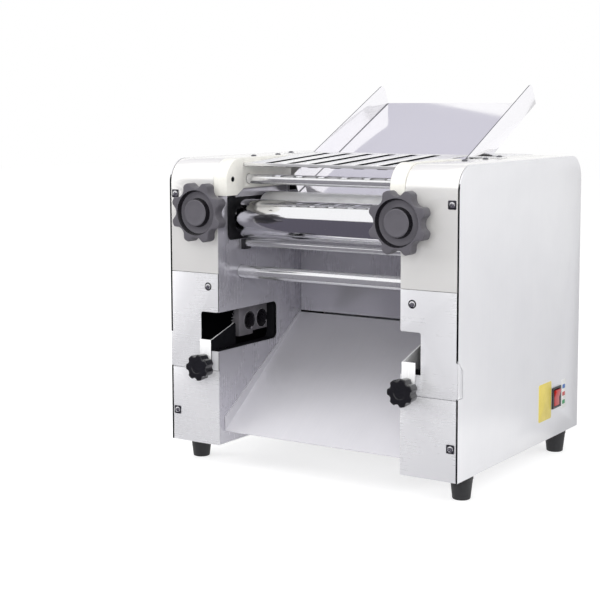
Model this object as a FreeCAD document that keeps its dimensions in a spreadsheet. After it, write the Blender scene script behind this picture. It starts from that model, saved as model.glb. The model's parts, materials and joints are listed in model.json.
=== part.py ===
import FreeCAD, Part
import math
import os
import Sketcher

# Noodle machine: a pair of driven rollers in a folded stainless casing, with a feed tray behind,
# a discharge chute in front and a seat on the left for a drop-in cutter. Millimetres, +Z up,
# +Y towards the back, origin on the floor under the middle of the whole machine.
# Heights below are from the casing's lower edge and depths from its front plane, unless a name
# says otherwise.

SIZES = {
    # Casing
    "casing_width": 400.0,
    "casing_depth": 342.0,
    "casing_height": 352.0,
    "panel_gauge": 2.0,
    "cover_gauge": 1.5,
    "liner_gauge": 1.2,
    "panel_corner": 30.0,
    "sheet_gap": 0.5,
    "seat_gap": 0.3,
    "running_gap": 0.05,
    "overrun": 5.0,
    "side_bay": 73.0,
    "base_front_height": 92.5,
    "plate_top_height": 212.5,
    "rear_seam_height": 306.0,
    "base_corner": 5.0,
    "rear_flange": 74.0,
    "bay_setback": 90.0,
    # Notch for the cutter's ends
    "notch_low": 117.0,
    "notch_high": 165.0,
    "notch_clearance": 1.6,
    "notch_width": 26.0,
    "notch_corner": 8.0,
    "tab_low": 94.0,
    "tab_high": 137.0,
    "tab_reach": 12.0,
    # Feet
    "foot_height": 28.0,
    "foot_top_radius": 13.5,
    "foot_bottom_radius": 10.5,
    "foot_inset": 15.0,
    "foot_front": 40.0,
    "foot_rear": 305.0,
    # Frame plates and tie rods
    "frame_gap": 5.4,
    "frame_thickness": 11.0,
    "frame_front": 12.0,
    "frame_rear": 250.0,
    "frame_height": 345.0,
    "frame_corner": 20.0,
    "window_front": 18.0,
    "window_rear": 126.0,
    "window_half_height": 26.5,
    "liner_window_front": 21.0,
    "liner_window_rear": 150.0,
    "cheek_front": 38.0,
    "cheek_rear": 158.0,
    "cheek_low": 304.0,
    "upper_rod_radius": 6.0,
    "upper_rod_depth": 50.0,
    "upper_rod_rise": 49.0,
    "lower_rod_radius": 8.0,
    "lower_rod_depth": 49.0,
    "lower_rod_drop": 66.5,
    # Rollers and their blocks
    "roller_radius": 24.0,
    "roller_end_gap": 6.0,
    "front_roller_depth": 51.0,
    "front_roller_height": 278.0,
    "roller_pitch_depth": 49.0,
    "roller_pitch_height": 7.0,
    "journal_radius": 10.0,
    "roller_chamfer": 2.0,
    "block_gap": 1.5,
    "block_front_reach": 23.0,
    "block_flange": 1.5,
    "block_flange_overlap": 3.0,
    # Adjusting screws
    "knob_rise": 11.0,
    "knob_reach": 31.0,
    "knob_rim": 16.0,
    "knob_radius": 35.0,
    "knob_lobes": 8.0,
    "knob_scallop_radius": 8.0,
    "knob_scallop_depth": 4.0,
    "knob_lobe_round": 4.0,
    "knob_disc_radius": 17.5,
    "knob_cone_width": 5.0,
    "knob_groove_width": 5.0,
    "knob_groove_depth": 3.0,
    "knob_edge": 2.5,
    "knob_hub_radius": 12.5,
    "screw_radius": 4.0,
    "screw_hole_depth": 12.0,
    "adjust_travel": 5.0,
    # Roller end covers
    "cover_overhang": 12.0,
    "cover_seat": 5.0,
    "cover_rear": 144.0,
    "cover_top": 353.0,
    "cover_low": 308.0,
    "cover_step_depth": 22.5,
    "cover_step_reach": 36.0,
    "cover_step_height": 315.5,
    "cover_wall": 2.5,
    "cover_nose": 2.0,
    "cover_front_round": 28.0,
    "cover_rear_round": 8.0,
    # Guard grille
    "guard_length": 154.0,
    "guard_front_height": 347.0,
    "guard_angle": 3.25,
    "guard_gauge": 1.5,
    "guard_lip": 3.5,
    "guard_ear_front": 67.0,
    "guard_ear_length": 30.0,
    "guard_ear_drop": 12.0,
    "guard_slot_pitch": 31.8,
    "guard_slot_width": 11.0,
    "guard_slots": 6.0,
    "guard_slot_front": 4.0,
    "guard_slot_length": 136.0,
    # Feed tray
    "tray_gap": 13.0,
    "tray_lip_depth": 173.0,
    "tray_lip_height": 311.8,
    "tray_length": 241.8,
    "tray_angle": 26.2,
    "tray_gauge": 1.5,
    "tray_side": 29.5,
    "tray_tip_round": 9.0,
    "bracket_depth": 192.0,
    "bracket_width": 14.0,
    "bracket_reach": 45.0,
    "bracket_drop": 18.0,
    # Chute and shield
    "chute_lip_depth": 11.0,
    "chute_lip_height": 17.0,
    "chute_length": 213.0,
    "chute_angle": 36.6,
    "chute_side": 17.6,
    "chute_side_rear": 2.0,
    "shield_gap": 2.0,
    "shield_low": 146.0,
    "shield_high": 307.0,
    # Scrapers
    "scraper_radius": 4.5,
    "front_scraper_shift": 5.0,
    "front_scraper_drop": 31.0,
    "rear_scraper_shift": 6.0,
    "rear_scraper_drop": 33.0,
    "blade_gauge": 1.0,
    "holder_width": 5.0,
    "holder_height": 16.0,
    "holder_depth": 14.0,
    # Clamps that hold the cutter
    "clamp_shift": 14.0,
    "clamp_height": 100.0,
    "clamp_reach": 27.0,
    "clamp_knob_radius": 15.0,
    "clamp_knob_length": 15.0,
    "clamp_knob_lobes": 7.0,
    "clamp_scallop_radius": 4.5,
    "clamp_scallop_depth": 3.0,
    "clamp_lobe_round": 1.5,
    "clamp_edge": 1.5,
    "clamp_hub_radius": 7.0,
    "clamp_stud_radius": 3.0,
    "clamp_nut_radius": 6.5,
    "clamp_nut_length": 7.0,
    "clamp_tab_standoff": 6.0,
    "clamp_tab_gap": 6.0,
    "clamp_tab_width": 17.0,
    "clamp_tab_top": 132.0,
    "clamp_tab_low": 91.0,
    "clamp_wing_low": 118.5,
    "clamp_wing_high": 148.0,
    "clamp_wing_reach": 44.5,
    "clamp_travel": 8.0,
    # Drive on the right
    "roller_teeth": 14.0,
    "deep_pressure_angle": 28.0,
    "pressure_angle": 20.0,
    "backlash": 0.3,
    "tip_clearance": 0.6,
    "roller_gear_width": 16.0,
    "drive_module": 2.5,
    "drive_teeth": 44.0,
    "idler_small_teeth": 30.0,
    "idler_module": 2.0,
    "idler_large_teeth": 60.0,
    "pinion_teeth": 18.0,
    "gear_width": 10.0,
    "gear_spacing": 1.6,
    "hub_radius": 14.0,
    "axle_radius": 8.0,
    "axle_head_radius": 11.0,
    "axle_head": 2.0,
    "idler_angle": 14.0,
    "pinion_angle": 60.0,
    "pulley_radius": 58.0,
    "motor_pulley_radius": 20.0,
    "pulley_width": 15.0,
    "pulley_rim": 4.0,
    "groove_width": 11.0,
    "groove_depth": 8.0,
    "groove_floor_width": 9.8,
    "belt_width": 9.0,
    "belt_thickness": 6.0,
    "motor_depth": 268.0,
    "motor_height": 66.0,
    "motor_radius": 55.0,
    "motor_bell_radius": 48.0,
    "motor_bell": 14.0,
    "motor_left": 60.0,
    "motor_right": 95.0,
    "motor_foot_width": 80.0,
    "motor_shaft_radius": 7.0,
    "motor_shaft_seat": 50.0,
    # Cutter drive on the left
    "coupling_spacing": 27.0,
    "coupling_depth": 102.5,
    "coupling_height": 143.0,
    "coupling_teeth": 22.0,
    "coupling_radius": 12.0,
    "coupling_bore": 9.4,
    "coupling_bore_depth": 14.0,
    "coupling_gear_width": 9.0,
    "bearing_plate": 8.0,
    "bearing_plate_front": 66.5,
    "bearing_plate_rear": 150.0,
    "bearing_plate_low": 125.0,
    "bearing_plate_high": 190.0,
    "bearing_plate_step": 4.0,
    "bearing_plate_step_width": 30.0,
    "train_module": 2.0,
    "train_roller_teeth": 30.0,
    "train_idler_teeth": 46.0,
    "train_cutter_teeth": 22.0,
    "train_width": 8.0,
    # Switch, gland and screws
    "switch_depth": 271.5,
    "switch_height": 49.5,
    "bezel_size": 27.0,
    "bezel_gauge": 1.5,
    "switch_body": 23.0,
    "switch_body_depth": 20.0,
    "rocker_width": 15.0,
    "rocker_half": 10.2,
    "rocker_proud": 3.2,
    "rocker_dish": 1.7,
    "rocker_back": 6.5,
    "rocker_angle": 8.0,
    "rocker_gap": 0.7,
    "rocker_cavity": 10.0,
    "gland_offset": 150.0,
    "gland_height": 40.0,
    "gland_radius": 9.0,
    "gland_flange_radius": 11.0,
    "gland_length": 14.0,
    "gland_bore": 3.6,
    "vent_slot_length": 60.0,
    "vent_slot_width": 4.0,
    "vent_pitch": 12.0,
    "vent_slots": 6.0,
    "vent_low": 60.0,
    "vent_offset": 70.0,
    "screw_head_radius": 3.6,
    "screw_head_height": 1.8,
    "keyhole_shift": 15.0,
    "keyhole_drop": 16.0,
    "edge_screw_margin": 9.0,
    "edge_screw_low": 38.0,
    "edge_screw_drop": 43.0,
    "top_screw_shift": 23.0,
    "top_screw_front": 110.0,
    "top_screw_rear": 165.0,
}


class Size:
    """A number from the sheet, or one worked out from such numbers, with its expression."""

    def __init__(self, value, text):
        self.value = float(value)
        self.text = text

    def __add__(self, other):
        other = as_size(other)
        return Size(self.value + other.value, "(" + self.text + " + " + other.text + ")")

    def __sub__(self, other):
        other = as_size(other)
        return Size(self.value - other.value, "(" + self.text + " - " + other.text + ")")

    def __mul__(self, other):
        other = as_size(other)
        return Size(self.value * other.value, "(" + self.text + " * " + other.text + ")")

    def __truediv__(self, other):
        other = as_size(other)
        return Size(self.value / other.value, "(" + self.text + " / " + other.text + ")")

    def __neg__(self):
        return Size(-self.value, "(0 - " + self.text + ")")

    def __rmul__(self, other):
        return as_size(other) * self

    def __radd__(self, other):
        return as_size(other) + self


def as_size(value):
    if isinstance(value, Size):
        return value
    return Size(value, "%.9f" % value)


def root(size):
    return Size(math.sqrt(size.value), "sqrt(" + size.text + ")")


def sine(angle):
    return Size(math.sin(math.radians(angle.value)), "sin(" + angle.text + ")")


def cosine(angle):
    return Size(math.cos(math.radians(angle.value)), "cos(" + angle.text + ")")


class Sheet:
    """Holds one Size for each alias of the spreadsheet."""


ZERO = as_size(0)
SIDES = (("left", -1), ("right", 1))
PLANE_AXES = {"XY_Plane": (0, 1, 2), "XZ_Plane": (0, 2, 1), "YZ_Plane": (1, 2, 0)}
PARALLEL_SHARE = 0.999
SAME_PLACE = 1e-4

doc = FreeCAD.newDocument("noodle_machine")
pieces = []


def fill_sheet():
    table = doc.addObject("Spreadsheet::Sheet", "Sizes")
    sheet = Sheet()
    for row, (alias, value) in enumerate(SIZES.items(), 1):
        table.set("A%d" % row, alias)
        table.set("B%d" % row, str(value))
        table.setAlias("B%d" % row, alias)
        setattr(sheet, alias, Size(value, "Sizes." + alias))
    doc.recompute()
    return sheet


s = fill_sheet()


# Helpers for placing and drawing

def place(item, x, y, z):
    for axis, size in zip("xyz", (x, y, z)):
        item.setExpression("Placement.Base." + axis, as_size(size).text)


def point(across, up):
    return FreeCAD.Vector(across.value, up.value, 0)


def new_body(label, x=ZERO, y=ZERO, z=ZERO):
    body = doc.addObject("PartDesign::Body", label)
    body.Label = label
    place(body, x, y, z)
    return body


def new_sketch(body, role, offset=ZERO):
    sketch = body.newObject("Sketcher::SketchObject", body.Name + "_sketch")
    plane = next(item for item in body.Origin.OriginFeatures if item.Role == role)
    sketch.AttachmentSupport = [(plane, "")]
    sketch.MapMode = "FlatFace"
    outward = -offset if role == "XZ_Plane" else offset
    sketch.setExpression("AttachmentOffset.Base.z", outward.text)
    return sketch


def fix_point(sketch, geometry, end, across, up):
    for kind, size in (("DistanceX", across), ("DistanceY", up)):
        constraint = Sketcher.Constraint(kind, -1, 1, geometry, end, size.value)
        index = sketch.addConstraint(constraint)
        sketch.setExpression("Constraints[%d]" % index, size.text)


def draw_polygon(sketch, points):
    points = [(as_size(across), as_size(up)) for across, up in points]
    first = sketch.GeometryCount
    count = len(points)
    lines = []
    for number in range(count):
        lines.append(Part.LineSegment(point(*points[number]), point(*points[(number + 1) % count])))
    sketch.addGeometry(lines, False)
    for number in range(count):
        following = first + (number + 1) % count
        sketch.addConstraint(Sketcher.Constraint("Coincident", first + number, 2, following, 1))
    for number, (across, up) in enumerate(points):
        fix_point(sketch, first + number, 1, across, up)


def draw_circle(sketch, across, up, radius):
    number = sketch.GeometryCount
    normal = FreeCAD.Vector(0, 0, 1)
    sketch.addGeometry(Part.Circle(point(across, up), normal, radius.value), False)
    fix_point(sketch, number, 3, across, up)
    index = sketch.addConstraint(Sketcher.Constraint("Radius", number, radius.value))
    sketch.setExpression("Constraints[%d]" % index, radius.text)


def rectangle(across_low, across_high, up_low, up_high):
    return [(across_low, up_low), (across_high, up_low), (across_high, up_high), (across_low, up_high)]


def pad(body, role, start, thickness, outline, windows=(), circles=()):
    """Adds a slab that grows from start along the plane's positive axis."""
    sketch = new_sketch(body, role, as_size(start))
    draw_polygon(sketch, outline)
    for window in windows:
        draw_polygon(sketch, window)
    for circle in circles:
        draw_circle(sketch, *circle)
    feature = body.newObject("PartDesign::Pad", body.Name + "_pad")
    feature.Profile = sketch
    feature.setExpression("Length", as_size(thickness).text)
    feature.Reversed = role == "XZ_Plane"
    return feature


def pocket(body, role, start, depth, outlines=(), circles=()):
    """Cuts from start along the plane's positive axis."""
    sketch = new_sketch(body, role, as_size(start))
    for outline in outlines:
        draw_polygon(sketch, outline)
    for circle in circles:
        draw_circle(sketch, *circle)
    doc.recompute()
    volume = body.Shape.Volume
    feature = body.newObject("PartDesign::Pocket", body.Name + "_pocket")
    feature.Profile = sketch
    feature.setExpression("Length", as_size(depth).text)
    feature.Reversed = role != "XZ_Plane"
    doc.recompute()
    if body.Shape.Volume >= volume:
        raise RuntimeError("A pocket of " + body.Label + " cut nothing")
    return feature


def edges_at(shape, role, corners):
    """Names the straight edges that run along the plane's normal through the given corners."""
    across_axis, up_axis, along_axis = PLANE_AXES[role]
    names = []
    for number, edge in enumerate(shape.Edges, 1):
        if edge.Curve.TypeId != "Part::GeomLine" or abs(edge.Curve.Direction[along_axis]) < PARALLEL_SHARE:
            continue
        start = edge.Vertexes[0].Point
        for across, up in corners:
            across_error = abs(start[across_axis] - as_size(across).value)
            up_error = abs(start[up_axis] - as_size(up).value)
            if across_error < SAME_PLACE and up_error < SAME_PLACE:
                names.append("Edge%d" % number)
    return names


def round_corners(body, role, corners, radius):
    doc.recompute()
    base = body.Tip
    names = edges_at(base.Shape, role, corners)
    if len(names) < len(corners):
        raise RuntimeError("A corner of " + body.Label + " has no edge")
    fillet = body.newObject("PartDesign::Fillet", body.Name + "_round")
    fillet.Base = (base, names)
    fillet.setExpression("Radius", radius.text)


def turned(label, axis, x, y, z, profile):
    """A piece turned about an axis: its profile is (along the axis, radius) pairs."""
    body = new_body(label, x, y, z)
    if axis == "Z":
        sketch = new_sketch(body, "XZ_Plane")
        draw_polygon(sketch, [(radius, along) for along, radius in profile])
        reference = "V_Axis"
    else:
        sketch = new_sketch(body, "XY_Plane" if axis == "X" else "YZ_Plane")
        draw_polygon(sketch, profile)
        reference = "H_Axis"
    feature = body.newObject("PartDesign::Revolution", label + "_turning")
    feature.Profile = sketch
    feature.ReferenceAxis = (sketch, [reference])
    feature.Angle = 360
    return body


def keep(item):
    pieces.append(item)
    return item


def block(name, x_range, y_range, z_range):
    box = doc.addObject("Part::Box", name)
    for path, (low, high) in zip(("Length", "Width", "Height"), (x_range, y_range, z_range)):
        box.setExpression(path, (as_size(high) - as_size(low)).text)
    place(box, x_range[0], y_range[0], z_range[0])
    return box


AXIS_TURNS = {
    "X": FreeCAD.Rotation(FreeCAD.Vector(0, 1, 0), 90),
    "Y": FreeCAD.Rotation(FreeCAD.Vector(1, 0, 0), -90),
    "Z": FreeCAD.Rotation(),
}


def cylinder(name, axis, start, end, first, second, radius):
    """A cylinder along an axis from start to end, through (first, second) on the other two axes."""
    item = doc.addObject("Part::Cylinder", name)
    item.setExpression("Radius", as_size(radius).text)
    item.setExpression("Height", (as_size(end) - as_size(start)).text)
    item.Placement = FreeCAD.Placement(FreeCAD.Vector(), AXIS_TURNS[axis])
    centre = {"X": (start, first, second), "Y": (first, start, second), "Z": (first, second, start)}
    place(item, *centre[axis])
    return item


def fused(label, items):
    result = doc.addObject("Part::MultiFuse", label)
    result.Shapes = items
    result.Label = label
    return result


def grouped(label, items):
    result = doc.addObject("Part::Compound", label)
    result.Links = items
    result.Label = label
    return result


def cut(label, base, tools):
    result = doc.addObject("Part::Cut", label)
    result.Base = base
    result.Tool = tools[0] if len(tools) == 1 else fused(label + "_tools", tools)
    result.Label = label
    return result


def across(side, near, far):
    """The lower and higher X of a range that lies near to far from the middle, on one side."""
    near = as_size(near)
    far = as_size(far)
    return (-far, -near) if side < 0 else (near, far)


# Derived places
half_width = s.casing_width / 2
half_throat = half_width - s.side_bay
machine_back = (s.tray_lip_depth + s.tray_length * cosine(s.tray_angle)
                + s.tray_gauge * sine(s.tray_angle))
front = (s.knob_reach - machine_back) / 2
ground = s.foot_height
panel_inner = half_width - s.panel_gauge
cover_edge = panel_inner - s.sheet_gap
cover_inner = half_throat - s.cover_overhang
cover_outer = half_throat + s.cover_seat
cover_inner_edge = cover_outer + s.sheet_gap
frame_inner = half_throat + s.frame_gap
frame_outer = frame_inner + s.frame_thickness
frame_middle = frame_inner + s.frame_thickness / 2
clamp_middle = half_throat + s.clamp_shift
shield_front = s.chute_lip_depth + s.chute_length * cosine(s.chute_angle) + s.shield_gap
rear_roller_depth = s.front_roller_depth + s.roller_pitch_depth
rear_roller_height = s.front_roller_height + s.roller_pitch_height
roller_pitch = root(s.roller_pitch_depth * s.roller_pitch_depth
                    + s.roller_pitch_height * s.roller_pitch_height)
roller_end = half_throat - s.roller_end_gap
plate_low = s.base_front_height + s.sheet_gap
window_low = s.front_roller_height - s.window_half_height
window_high = s.front_roller_height + s.window_half_height
upper_rod_height = s.front_roller_height + s.upper_rod_rise
lower_rod_height = s.front_roller_height - s.lower_rod_drop
knob_height = s.front_roller_height + s.knob_rise
half_tray = half_throat - s.tray_gap
notch_reach = s.coupling_depth + s.coupling_spacing / 2 + s.coupling_bore + s.notch_clearance


def depth(value):
    return front + value


def height(value):
    return ground + value


def make_side_panels():
    outline = [
        (front, ground),
        (depth(s.casing_depth), ground),
        (depth(s.casing_depth), height(s.casing_height)),
        (front, height(s.casing_height)),
        (front, height(s.tab_high)),
        (depth(s.tab_reach), height(s.tab_high - s.tab_reach)),
        (depth(s.tab_reach), height(s.tab_low)),
        (front, height(s.tab_low)),
    ]
    half_hole = s.switch_body / 2 + s.seat_gap
    switch_hole = rectangle(depth(s.switch_depth - half_hole), depth(s.switch_depth + half_hole),
                            height(s.switch_height - half_hole), height(s.switch_height + half_hole))
    for name, side in SIDES:
        body = new_body(name + "_side_panel")
        start = across(side, panel_inner, half_width)[0]
        windows = [switch_hole] if side > 0 else []
        pad(body, "YZ_Plane", start, s.panel_gauge, outline, windows)
        round_corners(body, "YZ_Plane", [outline[2], outline[3]], s.panel_corner)
        keep(body)


def make_top_covers():
    gauge = s.cover_gauge
    seam = s.plate_top_height + s.sheet_gap
    outline = [
        (front, height(seam)),
        (front, height(s.casing_height)),
        (depth(s.casing_depth), height(s.casing_height)),
        (depth(s.casing_depth), height(s.rear_seam_height)),
        (depth(s.casing_depth - gauge), height(s.rear_seam_height)),
        (depth(s.casing_depth - gauge), height(s.casing_height - gauge)),
        (depth(gauge), height(s.casing_height - gauge)),
        (depth(gauge), height(seam)),
    ]
    for name, side in SIDES:
        body = new_body(name + "_top_cover")
        low, high = across(side, cover_inner_edge, cover_edge)
        pad(body, "YZ_Plane", low, high - low, outline)
        round_corners(body, "YZ_Plane", outline[1:3], s.panel_corner)
        round_corners(body, "YZ_Plane", outline[5:7], s.panel_corner - gauge)
        low, high = across(side, half_throat, cover_inner_edge)
        strip = rectangle(low, high, height(seam), height(s.cover_low))
        pad(body, "XZ_Plane", front, gauge, strip)
        hole = (side * frame_middle, height(knob_height), s.knob_hub_radius + s.sheet_gap)
        pocket(body, "XZ_Plane", front, gauge, circles=[hole])
        keep(body)


def make_front_plates():
    gauge = s.cover_gauge
    flange_outer = half_width - s.seat_gap
    flange_inner = flange_outer - gauge
    low_edge = height(s.tab_low + s.sheet_gap)
    for name, side in SIDES:
        body = new_body(name + "_front_plate")
        notch_edge = side * (half_throat + s.notch_width)
        inner = side * half_throat
        outer = side * cover_edge
        outline = [
            (inner, height(plate_low)),
            (outer, height(plate_low)),
            (outer, height(s.plate_top_height)),
            (inner, height(s.plate_top_height)),
            (inner, height(s.notch_high)),
            (notch_edge, height(s.notch_high)),
            (notch_edge, height(s.notch_low)),
            (inner, height(s.notch_low)),
        ]
        stud_hole = (side * clamp_middle, height(s.clamp_height), s.clamp_stud_radius + s.seat_gap)
        pad(body, "XZ_Plane", front, gauge, outline, circles=[stud_hole])
        rounded = [outline[4], outline[5], outline[7]]
        round_corners(body, "XZ_Plane", rounded, s.base_corner / 2)
        low, high = across(side, cover_edge, flange_outer)
        link = rectangle(low, high, low_edge, height(s.tab_high - s.sheet_gap - gauge))
        pad(body, "XZ_Plane", front, gauge, link)
        flange = [
            (front, low_edge),
            (depth(s.tab_reach - s.sheet_gap), low_edge),
            (depth(s.tab_reach - s.sheet_gap), height(s.tab_high - s.tab_reach - s.sheet_gap)),
            (depth(gauge), height(s.tab_high - s.sheet_gap - gauge)),
            (front, height(s.tab_high - s.sheet_gap - gauge)),
        ]
        low, high = across(side, flange_inner, flange_outer)
        pad(body, "YZ_Plane", low, gauge, flange)
        nut = cylinder(name + "_clamp_nut", "Y", depth(gauge), depth(gauge + s.clamp_nut_length),
                       side * clamp_middle, height(s.clamp_height), s.clamp_nut_radius)
        bore = cylinder(name + "_clamp_nut_bore", "Y", front, depth(gauge + 2 * s.clamp_nut_length),
                        side * clamp_middle, height(s.clamp_height),
                        s.clamp_stud_radius + s.running_gap)
        ring = cut(name + "_clamp_nut_ring", nut, [bore])
        body.Label = name + "_front_sheet"
        keep(fused(name + "_front_plate", [body, ring]))


def make_base_pan():
    body = new_body("base_pan")
    gauge = s.cover_gauge
    bay = depth(s.bay_setback)
    back = depth(s.casing_depth - gauge)
    floor = [
        (-cover_edge, front),
        (-half_throat, front),
        (-half_throat, bay),
        (half_throat, bay),
        (half_throat, front),
        (cover_edge, front),
        (cover_edge, back),
        (-cover_edge, back),
    ]
    pad(body, "XY_Plane", ground, gauge, floor)
    for name, side in SIDES:
        low, high = across(side, half_throat, cover_edge)
        pad(body, "XZ_Plane", front, gauge, rectangle(low, high, ground, height(s.base_front_height)))
    inner_corners = [(side * half_throat, ground) for name, side in SIDES]
    round_corners(body, "XZ_Plane", inner_corners, gauge / 2)
    keep(body)


def make_back_panel():
    body = new_body("back_panel")
    gauge = s.cover_gauge
    start = depth(s.casing_depth - gauge)
    shoulder = height(s.rear_seam_height - s.sheet_gap)
    neck = cover_inner_edge - s.sheet_gap
    outline = [
        (-cover_edge, ground),
        (cover_edge, ground),
        (cover_edge, shoulder),
        (neck, shoulder),
        (neck, height(s.casing_height)),
        (-neck, height(s.casing_height)),
        (-neck, shoulder),
        (-cover_edge, shoulder),
    ]
    vents = []
    for centre in (-s.vent_offset, s.vent_offset):
        for number in range(int(s.vent_slots.value)):
            low = height(s.vent_low + s.vent_pitch * number)
            half_slot = s.vent_slot_length / 2
            vents.append(rectangle(centre - half_slot, centre + half_slot, low,
                                   low + s.vent_slot_width))
    gland_hole = (s.gland_offset, height(s.gland_height), s.gland_radius + s.seat_gap)
    pad(body, "XZ_Plane", start, gauge, outline, vents, [gland_hole])
    flange = rectangle(-neck, neck, depth(s.casing_depth - s.rear_flange), depth(s.casing_depth))
    pad(body, "XY_Plane", height(s.casing_height - gauge), gauge, flange)
    keep(body)


def make_liners():
    front_edge = depth(s.cover_gauge)
    low = height(s.cover_gauge)
    window = height(window_low + s.sheet_gap)
    cheek_high = height(s.cover_step_height - s.sheet_gap)
    outline = [
        (front_edge, low),
        (depth(shield_front), low),
        (depth(shield_front), height(s.shield_high)),
        (depth(s.cheek_rear), height(s.shield_high)),
        (depth(s.cheek_rear), cheek_high),
        (depth(s.cheek_front), cheek_high),
        (depth(s.cheek_front), height(s.cheek_low)),
        (depth(s.liner_window_rear), height(s.cheek_low)),
        (depth(s.liner_window_rear), window),
        (depth(s.liner_window_front), window),
        (depth(s.liner_window_front), height(s.cover_low)),
        (front_edge, height(s.cover_low)),
        (front_edge, height(s.notch_high)),
        (depth(notch_reach), height(s.notch_high)),
        (depth(notch_reach), height(s.notch_low)),
        (front_edge, height(s.notch_low)),
    ]
    rod_hole = (depth(s.lower_rod_depth), height(lower_rod_height), s.lower_rod_radius + s.seat_gap)
    for name, side in SIDES:
        body = new_body(name + "_liner")
        start = across(side, half_throat, half_throat + s.liner_gauge)[0]
        pad(body, "YZ_Plane", start, s.liner_gauge, outline, circles=[rod_hole])
        corners = [outline[8], outline[9], outline[13], outline[14]]
        round_corners(body, "YZ_Plane", corners, s.notch_corner)
        keep(body)


def make_frame_plates():
    outline = [
        (depth(s.frame_front), height(s.cover_gauge)),
        (depth(s.frame_rear), height(s.cover_gauge)),
        (depth(s.frame_rear), height(s.frame_height)),
        (depth(s.frame_front), height(s.frame_height)),
        (depth(s.frame_front), height(s.notch_high)),
        (depth(notch_reach), height(s.notch_high)),
        (depth(notch_reach), height(s.notch_low)),
        (depth(s.frame_front), height(s.notch_low)),
    ]
    window = rectangle(depth(s.window_front), depth(s.window_rear),
                       height(window_low), height(window_high))
    gap = s.running_gap
    rods = [
        (depth(s.upper_rod_depth), height(upper_rod_height), s.upper_rod_radius + gap),
        (depth(s.lower_rod_depth), height(lower_rod_height), s.lower_rod_radius + gap),
    ]
    axles = {
        "left": [(*train_idler_centre(), s.axle_radius + gap)],
        "right": [(*idler_centre(), s.axle_radius + gap), (*pinion_centre(), s.axle_radius + gap)],
    }
    for name, side in SIDES:
        body = new_body(name + "_frame_plate")
        start = across(side, frame_inner, frame_outer)[0]
        pad(body, "YZ_Plane", start, s.frame_thickness, outline, [window], rods + axles[name])
        round_corners(body, "YZ_Plane", outline[5:7], s.notch_corner)
        round_corners(body, "YZ_Plane", [outline[3]], s.frame_corner)
        hole = (side * frame_middle, height(knob_height), s.screw_radius + s.seat_gap)
        rim = s.window_front - s.frame_front
        pocket(body, "XZ_Plane", depth(s.frame_front), rim, circles=[hole])
        keep(body)


def make_tie_rods():
    for name, rod_depth, rod_height, radius in (
            ("upper_tie_rod", s.upper_rod_depth, upper_rod_height, s.upper_rod_radius),
            ("lower_tie_rod", s.lower_rod_depth, lower_rod_height, s.lower_rod_radius)):
        chamfer = radius / 6
        profile = [
            (-frame_outer, ZERO),
            (frame_outer, ZERO),
            (frame_outer, radius - chamfer),
            (frame_outer - chamfer, radius),
            (chamfer - frame_outer, radius),
            (-frame_outer, radius - chamfer),
        ]
        keep(turned(name, "X", ZERO, depth(rod_depth), height(rod_height), profile))


def roller_profile(left_reach, right_reach):
    journal = s.journal_radius
    edge = s.roller_chamfer
    return [
        (-left_reach, ZERO),
        (right_reach, ZERO),
        (right_reach, journal - edge / 2),
        (right_reach - edge / 2, journal),
        (roller_end, journal),
        (roller_end, s.roller_radius - edge),
        (roller_end - edge, s.roller_radius),
        (edge - roller_end, s.roller_radius),
        (-roller_end, s.roller_radius - edge),
        (-roller_end, journal),
        (edge / 2 - left_reach, journal),
        (-left_reach, journal - edge / 2),
    ]


# Layers of the drive, as distances from the middle of the machine
first_layer = frame_outer + s.block_flange + s.gear_spacing
second_layer = first_layer + s.roller_gear_width + s.gear_spacing
third_layer = second_layer + s.gear_width + s.gear_spacing
third_layer_end = third_layer + s.gear_width
coupling_gear_layer = frame_outer + s.bearing_plate + s.gear_spacing
train_layer = coupling_gear_layer + s.coupling_gear_width + s.gear_spacing
train_layer_end = train_layer + s.train_width


def make_rollers():
    front_profile = roller_profile(frame_outer + s.block_flange, first_layer + s.roller_gear_width)
    rear_profile = roller_profile(train_layer_end, second_layer + s.gear_width)
    keep(turned("front_roller", "X", ZERO, depth(s.front_roller_depth),
                height(s.front_roller_height), front_profile))
    keep(turned("rear_roller", "X", ZERO, depth(rear_roller_depth),
                height(rear_roller_height), rear_profile))


def make_bearing_blocks():
    gap = s.seat_gap
    split = s.front_roller_depth + s.block_front_reach
    rear_split = split + s.block_gap
    spans = (
        ("front", s.front_roller_depth, s.front_roller_height,
         s.front_roller_depth - s.block_front_reach, split),
        ("rear", rear_roller_depth, rear_roller_height, rear_split, s.window_rear - gap),
    )
    for name, side in SIDES:
        for place_name, axis_depth, axis_height, near, far in spans:
            label = name + "_" + place_name + "_block"
            inner_x = frame_inner - s.block_flange - gap
            outer_x = frame_outer + gap + s.block_flange / 2
            core = block(label + "_core", across(side, inner_x, outer_x),
                         (depth(near), depth(far)),
                         (height(window_low + gap), height(window_high - gap)))
            lip_z = (height(window_low - s.block_flange_overlap),
                     height(window_high + s.block_flange_overlap))
            inner_lip = block(label + "_inner_lip", across(side, inner_x, frame_inner - gap),
                              (depth(near), depth(far)), lip_z)
            outer_lip = block(label + "_outer_lip", across(side, frame_outer + gap, outer_x),
                              (depth(near), depth(far)), lip_z)
            body = fused(label + "_body", [core, inner_lip, outer_lip])
            low, high = across(side, inner_x - s.overrun, outer_x + s.overrun)
            tools = [cylinder(label + "_bore", "X", low, high, depth(axis_depth),
                              height(axis_height), s.journal_radius + s.running_gap)]
            if place_name == "front":
                tools.append(cylinder(label + "_thread", "Y", depth(near),
                                      depth(near + s.screw_hole_depth), side * frame_middle,
                                      height(knob_height), s.screw_radius + s.running_gap))
            keep(cut(label, body, tools))


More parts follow.
